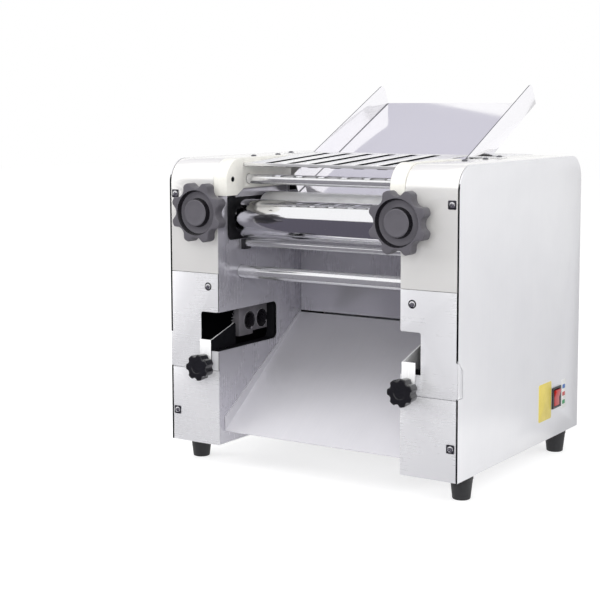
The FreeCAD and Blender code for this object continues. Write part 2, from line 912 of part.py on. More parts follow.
def lobed_pocket(body, start, length, radius, scallop_radius, scallop_depth, lobes):
    """Cuts one scallop in a knob's rim and repeats it around the knob's axis."""
    centre = radius + scallop_radius - scallop_depth
    scallop = pocket(body, "XZ_Plane", start, length, circles=[(ZERO, centre, scallop_radius)])
    pattern = body.newObject("PartDesign::PolarPattern", body.Name + "_lobes")
    pattern.Originals = [scallop]
    axis = next(item for item in body.Origin.OriginFeatures if item.Role == "Y_Axis")
    pattern.Axis = (axis, [""])
    pattern.Angle = 360
    pattern.setExpression("Occurrences", lobes.text)
    body.Tip = pattern
    doc.recompute()


def round_lobes(body, start, end, radius):
    """Rounds the edges that the scallops leave along a knob's rim."""
    base = body.Tip
    names = []
    for number, edge in enumerate(base.Shape.Edges, 1):
        if edge.Curve.TypeId != "Part::GeomLine" or abs(edge.Curve.Direction[1]) < PARALLEL_SHARE:
            continue
        depths = sorted(vertex.Point[1] for vertex in edge.Vertexes)
        if depths[0] > start.value - radius.value and depths[1] < end.value + radius.value:
            names.append("Edge%d" % number)
    fillet = body.newObject("PartDesign::Fillet", body.Name + "_lobe_rounds")
    fillet.Base = (base, names)
    fillet.setExpression("Radius", radius.text)


def make_adjust_knobs():
    face = -s.knob_reach
    screw_reach = s.front_roller_depth - s.block_front_reach + s.adjust_travel
    rim_back = face + s.knob_rim
    groove_inner = s.knob_disc_radius + s.knob_cone_width
    groove_outer = groove_inner + s.knob_groove_width
    groove_floor = face + s.knob_groove_depth
    edge = s.knob_edge
    profile = [
        (face, ZERO),
        (screw_reach, ZERO),
        (screw_reach, s.screw_radius),
        (s.cover_gauge, s.screw_radius),
        (s.cover_gauge, s.knob_hub_radius),
        (rim_back, s.knob_hub_radius),
        (rim_back, s.knob_radius - edge),
        (rim_back - edge, s.knob_radius),
        (face + 2 * edge, s.knob_radius),
        (face + edge, s.knob_radius - edge / 2),
        (face + edge / 2, s.knob_radius - 2 * edge),
        (face + edge / 2, groove_outer),
        (groove_floor, groove_outer),
        (groove_floor, groove_inner),
        (face, s.knob_disc_radius),
    ]
    for name, side in SIDES:
        body = turned(name + "_adjust_knob", "Y", side * frame_middle, front,
                      height(knob_height), profile)
        lobed_pocket(body, face - s.overrun, s.knob_rim + 2 * s.overrun, s.knob_radius,
                     s.knob_scallop_radius, s.knob_scallop_depth, s.knob_lobes)
        round_lobes(body, face, rim_back, s.knob_lobe_round)
        keep(body)


def make_clamp_knobs():
    face = -s.clamp_reach
    stud_reach = s.cover_gauge + s.clamp_travel
    rim_back = face + s.clamp_knob_length
    hub_back = -s.clamp_tab_standoff - s.cover_gauge - s.seat_gap
    edge = s.clamp_edge
    profile = [
        (face, ZERO),
        (stud_reach, ZERO),
        (stud_reach, s.clamp_stud_radius),
        (hub_back, s.clamp_stud_radius),
        (hub_back, s.clamp_hub_radius),
        (rim_back, s.clamp_hub_radius),
        (rim_back, s.clamp_knob_radius - edge),
        (rim_back - edge, s.clamp_knob_radius),
        (face + edge, s.clamp_knob_radius),
        (face, s.clamp_knob_radius - edge),
    ]
    for name, side in SIDES:
        body = turned(name + "_clamp_knob", "Y", side * clamp_middle, front,
                      height(s.clamp_height), profile)
        lobed_pocket(body, face - s.overrun, s.clamp_knob_length + 2 * s.overrun,
                     s.clamp_knob_radius, s.clamp_scallop_radius, s.clamp_scallop_depth,
                     s.clamp_knob_lobes)
        round_lobes(body, face, rim_back, s.clamp_lobe_round)
        keep(body)


def make_clamp_brackets():
    gauge = s.cover_gauge
    tab_front = depth(-s.clamp_tab_standoff - gauge)
    near = half_throat + s.clamp_tab_gap
    far = near + s.clamp_tab_width
    for name, side in SIDES:
        body = new_body(name + "_clamp_bracket")
        inner = side * near
        outer = side * far
        taper = side * (far - gauge * 2)
        tab = [
            (inner, height(s.clamp_tab_low)),
            (taper, height(s.clamp_tab_low)),
            (outer, height(s.clamp_wing_low)),
            (outer, height(s.clamp_tab_top)),
            (inner, height(s.clamp_tab_top)),
        ]
        hole = (side * clamp_middle, height(s.clamp_height), s.clamp_stud_radius + s.seat_gap)
        pad(body, "XZ_Plane", tab_front, gauge, tab, circles=[hole])
        wing = [
            (tab_front, height(s.clamp_wing_low)),
            (depth(s.clamp_wing_reach), height(s.clamp_wing_low)),
            (depth(s.clamp_wing_reach), height(s.clamp_wing_high)),
            (tab_front + gauge, height(s.clamp_tab_top)),
            (tab_front, height(s.clamp_tab_top)),
        ]
        low, high = across(side, near, near + gauge)
        pad(body, "YZ_Plane", low, gauge, wing)
        round_corners(body, "YZ_Plane", [wing[2]], gauge * 2)
        keep(body)


def make_roller_covers():
    outline = [
        (front, height(s.cover_low)),
        (depth(s.cover_step_depth), height(s.cover_low)),
        (depth(s.cover_step_reach), height(s.cover_step_height)),
        (depth(s.cover_rear), height(s.cover_step_height)),
        (depth(s.cover_rear), height(s.cover_top)),
        (front, height(s.cover_top)),
    ]
    nose = outline[:3] + [(depth(s.cover_step_reach), height(s.cover_top)), outline[5]]
    wall = s.cover_wall
    below = height(s.cover_low - s.overrun)
    cavity = [
        (depth(wall), below),
        (depth(s.cover_rear - wall), below),
        (depth(s.cover_rear - wall), height(s.cover_top - wall)),
        (depth(wall), height(s.cover_top - wall)),
    ]
    rod_hole = (depth(s.upper_rod_depth), height(upper_rod_height), s.upper_rod_radius + s.seat_gap)
    for name, side in SIDES:
        body = new_body(name + "_roller_cover")
        low, high = across(side, cover_inner, cover_outer)
        pad(body, "YZ_Plane", low, high - low, outline)
        nose_low, nose_high = across(side, cover_inner - s.cover_nose, cover_inner)
        pad(body, "YZ_Plane", nose_low, nose_high - nose_low, nose)
        pocket(body, "YZ_Plane", low + wall, high - low - 2 * wall, [cavity])
        round_corners(body, "YZ_Plane", [cavity[3]], s.cover_front_round - wall)
        round_corners(body, "YZ_Plane", [cavity[2]], s.cover_rear_round - wall)
        round_corners(body, "YZ_Plane", [outline[5]], s.cover_front_round)
        round_corners(body, "YZ_Plane", [outline[4]], s.cover_rear_round)
        bored_low, bored_high = across(side, cover_inner - s.cover_nose, cover_outer)
        pocket(body, "YZ_Plane", bored_low, bored_high - bored_low, circles=[rod_hole])
        keep(body)


def tilt(item, angle):
    item.Placement = FreeCAD.Placement(FreeCAD.Vector(), FreeCAD.Rotation(FreeCAD.Vector(1, 0, 0), 1))
    item.setExpression("Placement.Rotation.Angle", angle.text)


def make_guard_grille():
    body = new_body("guard_grille")
    tilt(body, s.guard_angle)
    place(body, ZERO, depth(s.cover_step_reach + s.seat_gap), height(s.guard_front_height))
    gauge = s.guard_gauge
    half = cover_inner - s.seat_gap
    outline = rectangle(-half, half, ZERO, s.guard_length)
    slots = []
    count = int(s.guard_slots.value)
    for number in range(count):
        middle = s.guard_slot_pitch * (number - (count - 1) / 2)
        slots.append(rectangle(middle - s.guard_slot_width / 2, middle + s.guard_slot_width / 2,
                               s.guard_slot_front, s.guard_slot_front + s.guard_slot_length))
    pad(body, "XY_Plane", -gauge, gauge, outline, slots)
    corners = [corner for slot in slots for corner in slot]
    round_corners(body, "XY_Plane", corners, gauge)
    pad(body, "XZ_Plane", ZERO, gauge, rectangle(-half, half, -s.guard_lip, ZERO))
    ear = rectangle(s.guard_ear_front, s.guard_ear_front + s.guard_ear_length,
                    -s.guard_ear_drop, ZERO)
    for name, side in SIDES:
        low, high = across(side, half - gauge, half)
        pad(body, "YZ_Plane", low, gauge, ear)
    round_corners(body, "YZ_Plane", ear[:2], s.guard_lip)
    keep(body)


def make_feed_tray():
    body = new_body("feed_tray")
    tilt(body, s.tray_angle)
    place(body, ZERO, depth(s.tray_lip_depth), height(s.tray_lip_height))
    gauge = s.tray_gauge
    half = half_tray
    channel = [
        (-half, -gauge),
        (half, -gauge),
        (half, s.tray_side),
        (half - gauge, s.tray_side),
        (half - gauge, ZERO),
        (gauge - half, ZERO),
        (gauge - half, s.tray_side),
        (-half, s.tray_side),
    ]
    pad(body, "XZ_Plane", ZERO, s.tray_length, channel)
    tips = [(s.tray_length, s.tray_side), (ZERO, s.tray_side)]
    round_corners(body, "YZ_Plane", tips, s.tray_tip_round)
    keep(body)


def make_tray_brackets():
    gauge = s.tray_gauge
    top = height(s.casing_height)
    near = half_tray + s.seat_gap
    items = []
    for name, side in SIDES:
        ear = block(name + "_bracket_ear", across(side, near, near + s.bracket_reach),
                    (depth(s.bracket_depth), depth(s.bracket_depth + s.bracket_width)),
                    (top, top + gauge))
        leg = block(name + "_bracket_leg", across(side, near, near + gauge),
                    (depth(s.bracket_depth), depth(s.bracket_depth + s.bracket_width)),
                    (top - s.bracket_drop, top))
        items.append(fused(name + "_bracket", [ear, leg]))
    keep(grouped("tray_brackets", items))


def make_chute():
    body = new_body("discharge_chute")
    tilt(body, s.chute_angle)
    place(body, ZERO, depth(s.chute_lip_depth), height(s.chute_lip_height))
    gauge = s.cover_gauge
    outline = rectangle(-half_throat, half_throat, ZERO, s.chute_length)
    pad(body, "XY_Plane", -gauge, gauge, outline)
    side_outline = [
        (ZERO, ZERO),
        (s.chute_length, ZERO),
        (s.chute_length, s.chute_side_rear),
        (s.chute_side * sine(s.chute_angle), s.chute_side * cosine(s.chute_angle)),
    ]
    for name, side in SIDES:
        low, high = across(side, half_throat - gauge, half_throat)
        pad(body, "YZ_Plane", low, gauge, side_outline)
    keep(body)


def make_back_shield():
    body = new_body("back_shield")
    outline = rectangle(-half_throat, half_throat, height(s.shield_low), height(s.shield_high))
    pad(body, "XZ_Plane", depth(shield_front), s.cover_gauge, outline)
    keep(body)


def make_scrapers():
    """A round bar under each roller, with a thin blade up to the roller and a holder at each end."""
    rows = (
        ("front_scraper", s.front_scraper_shift, s.front_scraper_drop,
         s.front_roller_depth, s.front_roller_height),
        ("rear_scraper", s.rear_scraper_shift, s.rear_scraper_drop,
         rear_roller_depth, rear_roller_height),
    )
    for label, run, drop, axis_depth, axis_height in rows:
        reach = half_throat
        bar_depth = axis_depth + run
        bar_height = axis_height - drop
        bar = cylinder(label + "_bar", "X", -reach, reach, depth(bar_depth), height(bar_height),
                       s.scraper_radius)
        inside = s.roller_radius + s.seat_gap
        contact = axis_height - root(inside * inside - run * run)
        blade = block(label + "_blade", (s.roller_end_gap - roller_end, roller_end - s.roller_end_gap),
                      (depth(bar_depth), depth(bar_depth + s.blade_gauge)),
                      (height(bar_height), height(contact - s.blade_gauge / 2)))
        holders = []
        for name, side in SIDES:
            x_range = across(side, reach - s.holder_width, reach)
            holders.append(block(label + "_" + name + "_holder", x_range,
                                 (depth(bar_depth - s.holder_depth / 2),
                                  depth(bar_depth + s.holder_depth / 2)),
                                 (height(bar_height - s.holder_height / 2),
                                  height(bar_height + s.scraper_radius))))
        keep(fused(label, [bar, blade] + holders))


def make_feet():
    items = []
    for side_name, side in SIDES:
        for foot_depth in (s.foot_front, s.foot_rear):
            foot = doc.addObject("Part::Cone", side_name + "_foot")
            foot.setExpression("Radius1", s.foot_bottom_radius.text)
            foot.setExpression("Radius2", s.foot_top_radius.text)
            foot.setExpression("Height", s.foot_height.text)
            place(foot, side * (half_width - s.foot_inset), depth(foot_depth), ZERO)
            items.append(foot)
    keep(grouped("feet", items))


# Gears

def involute(angle):
    return math.tan(angle) - angle


def gear_face(module, teeth, tooth_direction, pressure, tip_share):
    """The outline of a spur gear in the YZ plane, with one tooth centred on tooth_direction."""
    count = int(teeth)
    pitch_radius = module * teeth / 2
    base_radius = pitch_radius * math.cos(pressure)
    tip_radius = pitch_radius + module * tip_share
    root_radius = pitch_radius - module * tip_share - s.tip_clearance.value
    half_tooth = math.pi / (2 * teeth) - s.backlash.value / (2 * pitch_radius)
    flank_start = max(base_radius, root_radius)

    def half_angle(radius):
        tangent = math.acos(min(1.0, base_radius / radius))
        return half_tooth + involute(pressure) - involute(tangent)

    def at(radius, angle):
        return FreeCAD.Vector(0, radius * math.cos(angle), radius * math.sin(angle))

    flank_radii = (flank_start, (flank_start + tip_radius) / 2, tip_radius)
    edges = []
    for number in range(count):
        centre = tooth_direction + 2 * math.pi * number / count
        following = centre + 2 * math.pi / count
        rising = [at(radius, centre - half_angle(radius)) for radius in flank_radii]
        falling = [at(radius, centre + half_angle(radius)) for radius in reversed(flank_radii)]
        root_half = half_angle(flank_start)
        if root_radius < flank_start:
            edges.append(Part.LineSegment(at(root_radius, centre - root_half), rising[0]).toShape())
        edges.append(Part.Arc(*rising).toShape())
        edges.append(Part.Arc(rising[2], at(tip_radius, centre), falling[0]).toShape())
        edges.append(Part.Arc(*falling).toShape())
        if root_radius < flank_start:
            edges.append(Part.LineSegment(falling[2], at(root_radius, centre + root_half)).toShape())
        root_start = at(root_radius, centre + root_half)
        root_middle = at(root_radius, (centre + following) / 2)
        root_end = at(root_radius, following - root_half)
        edges.append(Part.Arc(root_start, root_middle, root_end).toShape())
    return Part.Face(Part.Wire(edges))


def disc(radius, start, end):
    axis = FreeCAD.Vector(1, 0, 0)
    return Part.makeCylinder(radius, end - start, FreeCAD.Vector(start, 0, 0), axis)


def gear_solid(x_range, module, teeth, direction, pressure_angle, tip_share=1.0):
    low = x_range[0].value
    high = x_range[1].value
    pressure = math.radians(pressure_angle.value)
    face = gear_face(module.value, teeth.value, direction, pressure, tip_share)
    face.translate(FreeCAD.Vector(low, 0, 0))
    return face.extrude(FreeCAD.Vector(high - low, 0, 0))


def keep_shape(label, shape, centre):
    """Keeps a worked-out shape, drawn about the X axis, with its centre at (depth, height)."""
    item = doc.addObject("Part::Feature", label)
    item.Shape = shape.removeSplitter()
    item.Label = label
    place(item, ZERO, *centre)
    return keep(item)


def direction_of(start, end):
    return math.atan2(end[1].value - start[1].value, end[0].value - start[0].value)


def half_pitch(teeth):
    return math.pi / teeth.value


def front_roller_centre():
    return depth(s.front_roller_depth), height(s.front_roller_height)


def rear_roller_centre():
    return depth(rear_roller_depth), height(rear_roller_height)


def idler_centre():
    reach = s.drive_module * (s.drive_teeth + s.idler_small_teeth) / 2
    return (depth(rear_roller_depth + reach * cosine(s.idler_angle)),
            height(rear_roller_height - reach * sine(s.idler_angle)))


def pinion_centre():
    reach = s.idler_module * (s.idler_large_teeth + s.pinion_teeth) / 2
    centre = idler_centre()
    return (centre[0] + reach * cosine(s.pinion_angle),
            centre[1] - reach * sine(s.pinion_angle))


def motor_centre():
    return depth(s.motor_depth), height(s.motor_height)


def rear_coupling_centre():
    return depth(s.coupling_depth + s.coupling_spacing / 2), height(s.coupling_height)


def front_coupling_centre():
    return depth(s.coupling_depth - s.coupling_spacing / 2), height(s.coupling_height)


def train_idler_centre():
    """Where a gear meets both the roller's left gear and the cutter's, behind the line between them."""
    roller = rear_roller_centre()
    cutter = rear_coupling_centre()
    to_roller = s.train_module * (s.train_roller_teeth + s.train_idler_teeth) / 2
    to_cutter = s.train_module * (s.train_idler_teeth + s.train_cutter_teeth) / 2
    run = cutter[0] - roller[0]
    fall = roller[1] - cutter[1]
    span = root(run * run + fall * fall)
    along = (to_roller * to_roller - to_cutter * to_cutter + span * span) / (span * 2)
    aside = root(to_roller * to_roller - along * along)
    return (roller[0] + run * along / span + fall * aside / span,
            roller[1] - fall * along / span + run * aside / span)


def make_roller_gears():
    module = roller_pitch / s.roller_teeth
    x_range = (first_layer, first_layer + s.roller_gear_width)
    toward_rear = direction_of(front_roller_centre(), rear_roller_centre())
    toward_front = toward_rear + math.pi + half_pitch(s.roller_teeth)
    tip_share = 0.9
    bore = disc(s.journal_radius.value, x_range[0].value, x_range[1].value)
    for label, centre, direction in (
            ("front_roller_gear", front_roller_centre(), toward_rear),
            ("rear_roller_gear", rear_roller_centre(), toward_front)):
        solid = gear_solid(x_range, module, s.roller_teeth, direction, s.deep_pressure_angle, tip_share)
        keep_shape(label, solid.cut(bore), centre)


def make_right_train():
    second = (second_layer, second_layer + s.gear_width)
    third = (third_layer, third_layer_end)
    roller = rear_roller_centre()
    idler = idler_centre()
    pinion = pinion_centre()
    to_idler = direction_of(roller, idler)
    drive = gear_solid(second, s.drive_module, s.drive_teeth, to_idler, s.pressure_angle)
    drive = drive.cut(disc(s.journal_radius.value, second[0].value, second[1].value))
    keep_shape("rear_drive_gear", drive, roller)

    small_direction = to_idler + math.pi + half_pitch(s.idler_small_teeth)
    small = gear_solid((second[0], third[0]), s.drive_module, s.idler_small_teeth,
                       small_direction, s.pressure_angle)
    to_pinion = direction_of(idler, pinion)
    large = gear_solid(third, s.idler_module, s.idler_large_teeth, to_pinion, s.pressure_angle)
    hole = disc(s.axle_radius.value + s.running_gap.value, first_layer.value, third[1].value)
    keep_shape("idler_gear", small.fuse(large).cut(hole), idler)

    pinion_direction = to_pinion + math.pi + half_pitch(s.pinion_teeth)
    teeth = gear_solid(third, s.idler_module, s.pinion_teeth, pinion_direction, s.pressure_angle)
    hub_start = first_layer + s.pulley_width
    hub = disc(s.hub_radius.value, hub_start.value, third[0].value)
    keep_shape("countershaft_pinion", teeth.fuse(hub).cut(hole), pinion)


def pulley_profile(start, bore, radius):
    """A grooved wheel between two radii, drawn as (along the axis, radius) pairs."""
    outer = radius + s.pulley_rim
    middle = start + s.pulley_width / 2
    top = s.groove_width / 2
    floor = s.groove_floor_width / 2
    return [
        (start, bore),
        (start + s.pulley_width, bore),
        (start + s.pulley_width, outer),
        (middle + top, outer),
        (middle + floor, outer - s.groove_depth),
        (middle - floor, outer - s.groove_depth),
        (middle - top, outer),
        (start, outer),
    ]


def make_pulleys():
    pinion = pinion_centre()
    motor = motor_centre()
    keep(turned("large_pulley", "X", ZERO, *pinion,
                pulley_profile(first_layer, s.axle_radius + s.running_gap, s.pulley_radius)))
    keep(turned("motor_pulley", "X", ZERO, *motor,
                pulley_profile(first_layer, s.motor_shaft_radius, s.motor_pulley_radius)))
    shaft = [
        (s.motor_right - s.motor_shaft_seat, ZERO),
        (first_layer + s.pulley_width, ZERO),
        (first_layer + s.pulley_width, s.motor_shaft_radius),
        (s.motor_right - s.motor_shaft_seat, s.motor_shaft_radius),
    ]
    keep(turned("motor_shaft", "X", ZERO, *motor, shaft))


def make_axles():
    rows = (
        ("idler_axle", 1, idler_centre(), third_layer_end),
        ("countershaft_axle", 1, pinion_centre(), third_layer_end),
        ("cutter_idler_axle", -1, train_idler_centre(), train_layer_end),
    )
    for label, side, centre, reach in rows:
        stop = reach + s.seat_gap
        end = stop + s.axle_head
        profile = [
            (side * frame_inner, ZERO),
            (side * end, ZERO),
            (side * end, s.axle_head_radius),
            (side * stop, s.axle_head_radius),
            (side * stop, s.axle_radius),
            (side * frame_inner, s.axle_radius),
        ]
        keep(turned(label, "X", ZERO, *centre, profile))


def belt_loop(first, second, first_radius, second_radius):
    """A face whose edge is a belt's line around two pulleys, in the YZ plane."""
    start = FreeCAD.Vector(0, first[0].value, first[1].value)
    end = FreeCAD.Vector(0, second[0].value, second[1].value)
    line = end - start
    heading = math.atan2(line.z, line.y)
    lean = math.acos((first_radius - second_radius) / line.Length)

    def at(centre, radius, angle):
        return centre + FreeCAD.Vector(0, radius * math.cos(angle), radius * math.sin(angle))

    upper = heading + lean
    lower = heading - lean
    far = [at(end, second_radius, angle) for angle in (lower, heading, upper)]
    near = [at(start, first_radius, angle) for angle in (upper, heading + math.pi, lower)]
    edges = [
        Part.Arc(*far).toShape(),
        Part.LineSegment(far[2], near[0]).toShape(),
        Part.Arc(*near).toShape(),
        Part.LineSegment(near[2], far[0]).toShape(),
    ]
    return Part.Face(Part.Wire(edges))


def make_belt():
    half = s.belt_thickness.value / 2
    pinion = pinion_centre()
    motor = motor_centre()
    loops = []
    for offset in (half, -half):
        loops.append(belt_loop(pinion, motor, s.pulley_radius.value + offset,
                               s.motor_pulley_radius.value + offset))
    start = first_layer.value + (s.pulley_width.value - s.belt_width.value) / 2
    band = loops[0].cut(loops[1])
    band.translate(FreeCAD.Vector(start, 0, 0))
    item = doc.addObject("Part::Feature", "drive_belt")
    item.Shape = band.extrude(FreeCAD.Vector(s.belt_width.value, 0, 0))
    keep(item)


def make_motor():
    centre = motor_centre()
    bell_left = -s.motor_left - s.motor_bell
    bell_right = s.motor_right
    stator = cylinder("motor_stator", "X", -s.motor_left, s.motor_right - s.motor_bell, *centre,
                      s.motor_radius)
    bells = cylinder("motor_bells", "X", bell_left, bell_right, *centre, s.motor_bell_radius)
    foot = block("motor_foot", (-s.motor_left + s.motor_bell, s.motor_right - 2 * s.motor_bell),
                 (depth(s.motor_depth - s.motor_foot_width / 2),
                  depth(s.motor_depth + s.motor_foot_width / 2)),
                 (height(s.cover_gauge), height(s.motor_height - s.motor_radius / 2)))
    bore = cylinder("motor_bore", "X", s.motor_right - s.motor_shaft_seat - s.sheet_gap,
                    s.motor_right + s.overrun, *centre, s.motor_shaft_radius + s.running_gap)
    keep(cut("motor_housing", fused("motor_castings", [stator, bells, foot]), [bore]))


def make_cutter_drive():
    module = s.coupling_spacing / s.coupling_teeth
    gear_range = (-coupling_gear_layer - s.coupling_gear_width, -coupling_gear_layer)
    mouth = -frame_outer
    rear = rear_coupling_centre()
    fore = front_coupling_centre()
    toward_rear = direction_of(fore, rear)
    toward_fore = toward_rear + math.pi + half_pitch(s.coupling_teeth)
    rows = (
        ("front_cutter_coupling", fore, toward_rear, gear_range[0]),
        ("rear_cutter_coupling", rear, toward_fore, -train_layer_end),
    )
    for label, centre, direction, tail in rows:
        teeth = gear_solid(gear_range, module, s.coupling_teeth, direction, s.pressure_angle)
        sleeve = disc(s.coupling_radius.value, gear_range[1].value, mouth.value)
        solid = teeth.fuse(sleeve)
        if tail is not gear_range[0]:
            solid = solid.fuse(disc(s.axle_radius.value, tail.value, gear_range[0].value))
        bore = disc(s.coupling_bore.value, mouth.value - s.coupling_bore_depth.value, mouth.value)
        keep_shape(label, solid.cut(bore), centre)

    plate = block("cutter_bearing_slab", (-frame_outer - s.bearing_plate, -frame_outer),
                  (depth(s.bearing_plate_front), depth(s.bearing_plate_rear)),
                  (height(s.bearing_plate_low), height(s.bearing_plate_high)))
    reach = s.bearing_plate + s.overrun
    step = block("cutter_bearing_step", (-frame_outer - reach, s.overrun - frame_outer),
                 (depth(s.bearing_plate_front + s.bearing_plate_step_width),
                  depth(s.bearing_plate_rear + s.overrun)),
                 (height(s.bearing_plate_low - s.overrun),
                  height(s.bearing_plate_low + s.bearing_plate_step)))
    tools = [step]
    for name, centre in (("front", fore), ("rear", rear)):
        tools.append(cylinder("cutter_" + name + "_bearing", "X", -frame_outer - reach,
                              s.overrun - frame_outer, *centre,
                              s.coupling_radius + s.running_gap))
    idler = train_idler_centre()
    tools.append(cylinder("cutter_idler_clearance", "X", -frame_outer - reach,
                          s.overrun - frame_outer, *idler, s.axle_head_radius))
    keep(cut("cutter_bearing_plate", plate, tools))


def make_left_train():
    layer = (-train_layer_end, -train_layer)
    roller = rear_roller_centre()
    idler = train_idler_centre()
    cutter = rear_coupling_centre()
    to_idler = direction_of(roller, idler)
    first = gear_solid(layer, s.train_module, s.train_roller_teeth, to_idler, s.pressure_angle)
    first = first.cut(disc(s.journal_radius.value, layer[0].value, layer[1].value))
    keep_shape("roller_left_gear", first, roller)

    idler_direction = to_idler + math.pi + half_pitch(s.train_idler_teeth)
    middle = gear_solid(layer, s.train_module, s.train_idler_teeth, idler_direction, s.pressure_angle)
    middle = middle.cut(disc(s.axle_radius.value + s.running_gap.value, layer[0].value,
                             layer[1].value))
    keep_shape("cutter_idler_gear", middle, idler)

    # The cutter's gear turns to put a gap where the idler has a tooth nearest to it
    to_cutter = direction_of(idler, cutter)
    pitch = 2 * math.pi / s.train_idler_teeth.value
    offset = (to_cutter - idler_direction) % pitch
    turn = -offset * s.train_idler_teeth.value / s.train_cutter_teeth.value
    direction = to_cutter + math.pi + half_pitch(s.train_cutter_teeth) - turn
    last = gear_solid(layer, s.train_module, s.train_cutter_teeth, direction, s.pressure_angle)
    last = last.cut(disc(s.axle_radius.value, layer[0].value, layer[1].value))
    keep_shape("cutter_drive_gear", last, cutter)


def make_switch():
    centre_depth = depth(s.switch_depth)
    centre_height = height(s.switch_height)
    outer = half_width + s.bezel_gauge
    half_bezel = s.bezel_size / 2
    half_body = s.switch_body / 2
    flange = block("switch_flange", (half_width, outer),
                   (centre_depth - half_bezel, centre_depth + half_bezel),
                   (centre_height - half_bezel, centre_height + half_bezel))
    body = block("switch_case", (half_width - s.switch_body_depth, half_width),
                 (centre_depth - half_body, centre_depth + half_body),
                 (centre_height - half_body, centre_height + half_body))
    half_cavity = s.rocker_half + s.rocker_gap
    half_slot = s.rocker_width / 2 + s.rocker_gap
    cavity = block("switch_cavity", (half_width - s.rocker_cavity, outer + s.overrun),
                   (centre_depth - half_slot, centre_depth + half_slot),
                   (centre_height - half_cavity, centre_height + half_cavity))
    keep(cut("switch_bezel", fused("switch_shell", [flange, body]), [cavity]))

    rocker = new_body("switch_rocker", half_width, centre_depth, centre_height)
    outline = [
        (-s.rocker_back, ZERO),
        (ZERO, -s.rocker_half),
        (s.rocker_proud, -s.rocker_half),
        (s.rocker_proud - s.rocker_dish, ZERO),
        (s.rocker_proud, s.rocker_half),
        (ZERO, s.rocker_half),
    ]
    pad(rocker, "XZ_Plane", -s.rocker_width / 2, s.rocker_width, outline)
    turn = FreeCAD.Rotation(FreeCAD.Vector(0, 1, 0), s.rocker_angle.value)
    rocker.Placement = FreeCAD.Placement(FreeCAD.Vector(), turn)
    rocker.setExpression("Placement.Rotation.Angle", s.rocker_angle.text)
    place(rocker, half_width, centre_depth, centre_height)
    keep(rocker)


def make_gland():
    back = s.casing_depth
    inner = back - s.cover_gauge - s.gland_length
    profile = [
        (inner, s.gland_bore),
        (back + s.gland_length, s.gland_bore),
        (back + s.gland_length, s.gland_radius - s.cover_gauge),
        (back + s.gland_length - s.cover_gauge, s.gland_radius),
        (back + s.cover_gauge, s.gland_radius),
        (back + s.cover_gauge, s.gland_flange_radius),
        (back, s.gland_flange_radius),
        (back, s.gland_radius),
        (inner, s.gland_radius),
    ]
    keep(turned("cable_gland", "Y", s.gland_offset, front, height(s.gland_height), profile))


def make_screws():
    radius = s.screw_head_radius
    rise = s.screw_head_height
    items = []
    for name, side in SIDES:
        for number, (offset, level) in enumerate((
                (half_throat + s.keyhole_shift, s.plate_top_height - s.keyhole_drop),
                (half_width - s.edge_screw_margin, s.edge_screw_low),
                (half_width - s.edge_screw_margin, s.casing_height - s.edge_screw_drop))):
            items.append(cylinder("%s_front_screw_%d" % (name, number), "Y", front - rise, front,
                                  side * offset, height(level), radius))
        for number, level in enumerate((s.top_screw_front, s.top_screw_rear)):
            items.append(cylinder("%s_top_screw_%d" % (name, number), "Z",
                                  height(s.casing_height), height(s.casing_height) + rise,
                                  side * (half_throat + s.top_screw_shift), depth(level), radius))
        ear_top = height(s.casing_height) + s.tray_gauge
        middle = half_tray + s.bracket_reach - s.bracket_width / 2
        items.append(cylinder(name + "_bracket_screw", "Z", ear_top, ear_top + rise, side * middle,
                              depth(s.bracket_depth + s.bracket_width / 2), radius))
    keep(grouped("panel_screws", items))


def check_and_write():
    doc.recompute()
    for item in doc.Objects:
        if "Invalid" in item.State or "Error" in item.State:
            raise RuntimeError(item.Name + " failed: " + str(item.State))
    for piece in pieces:
        if piece.Shape.isNull() or not piece.Shape.isValid() or not piece.Shape.Solids:
            raise RuntimeError(piece.Label + " has no valid shape")
    os.makedirs("parts", exist_ok=True)
    for piece in pieces:
        piece.Shape.exportStep("parts/" + piece.Label + ".step")


make_side_panels()
make_top_covers()
make_front_plates()
make_base_pan()
make_back_panel()
make_liners()
make_frame_plates()
make_tie_rods()
make_rollers()
make_bearing_blocks()
make_adjust_knobs()
make_clamp_knobs()
make_clamp_brackets()
make_roller_covers()
make_guard_grille()
make_feed_tray()
make_tray_brackets()
make_chute()
make_back_shield()
make_scrapers()
make_feet()
make_roller_gears()
make_right_train()
make_pulleys()
make_axles()
make_belt()
make_motor()
make_cutter_drive()
make_left_train()
make_switch()
make_gland()
make_screws()
check_and_write()
print("pieces", len(pieces))
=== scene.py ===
import json
import math

import bmesh
import bpy
from mathutils import Matrix, Vector


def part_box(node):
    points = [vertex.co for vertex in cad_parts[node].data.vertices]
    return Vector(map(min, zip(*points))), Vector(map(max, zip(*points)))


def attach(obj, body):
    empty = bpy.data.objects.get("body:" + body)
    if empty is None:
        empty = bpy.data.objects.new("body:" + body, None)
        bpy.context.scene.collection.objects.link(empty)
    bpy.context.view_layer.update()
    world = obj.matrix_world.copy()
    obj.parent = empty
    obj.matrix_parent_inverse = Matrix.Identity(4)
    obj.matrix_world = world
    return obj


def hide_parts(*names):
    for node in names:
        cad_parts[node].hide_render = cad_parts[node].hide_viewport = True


# Noodle machine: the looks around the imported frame. Metres, +Z up, +Y towards the back.

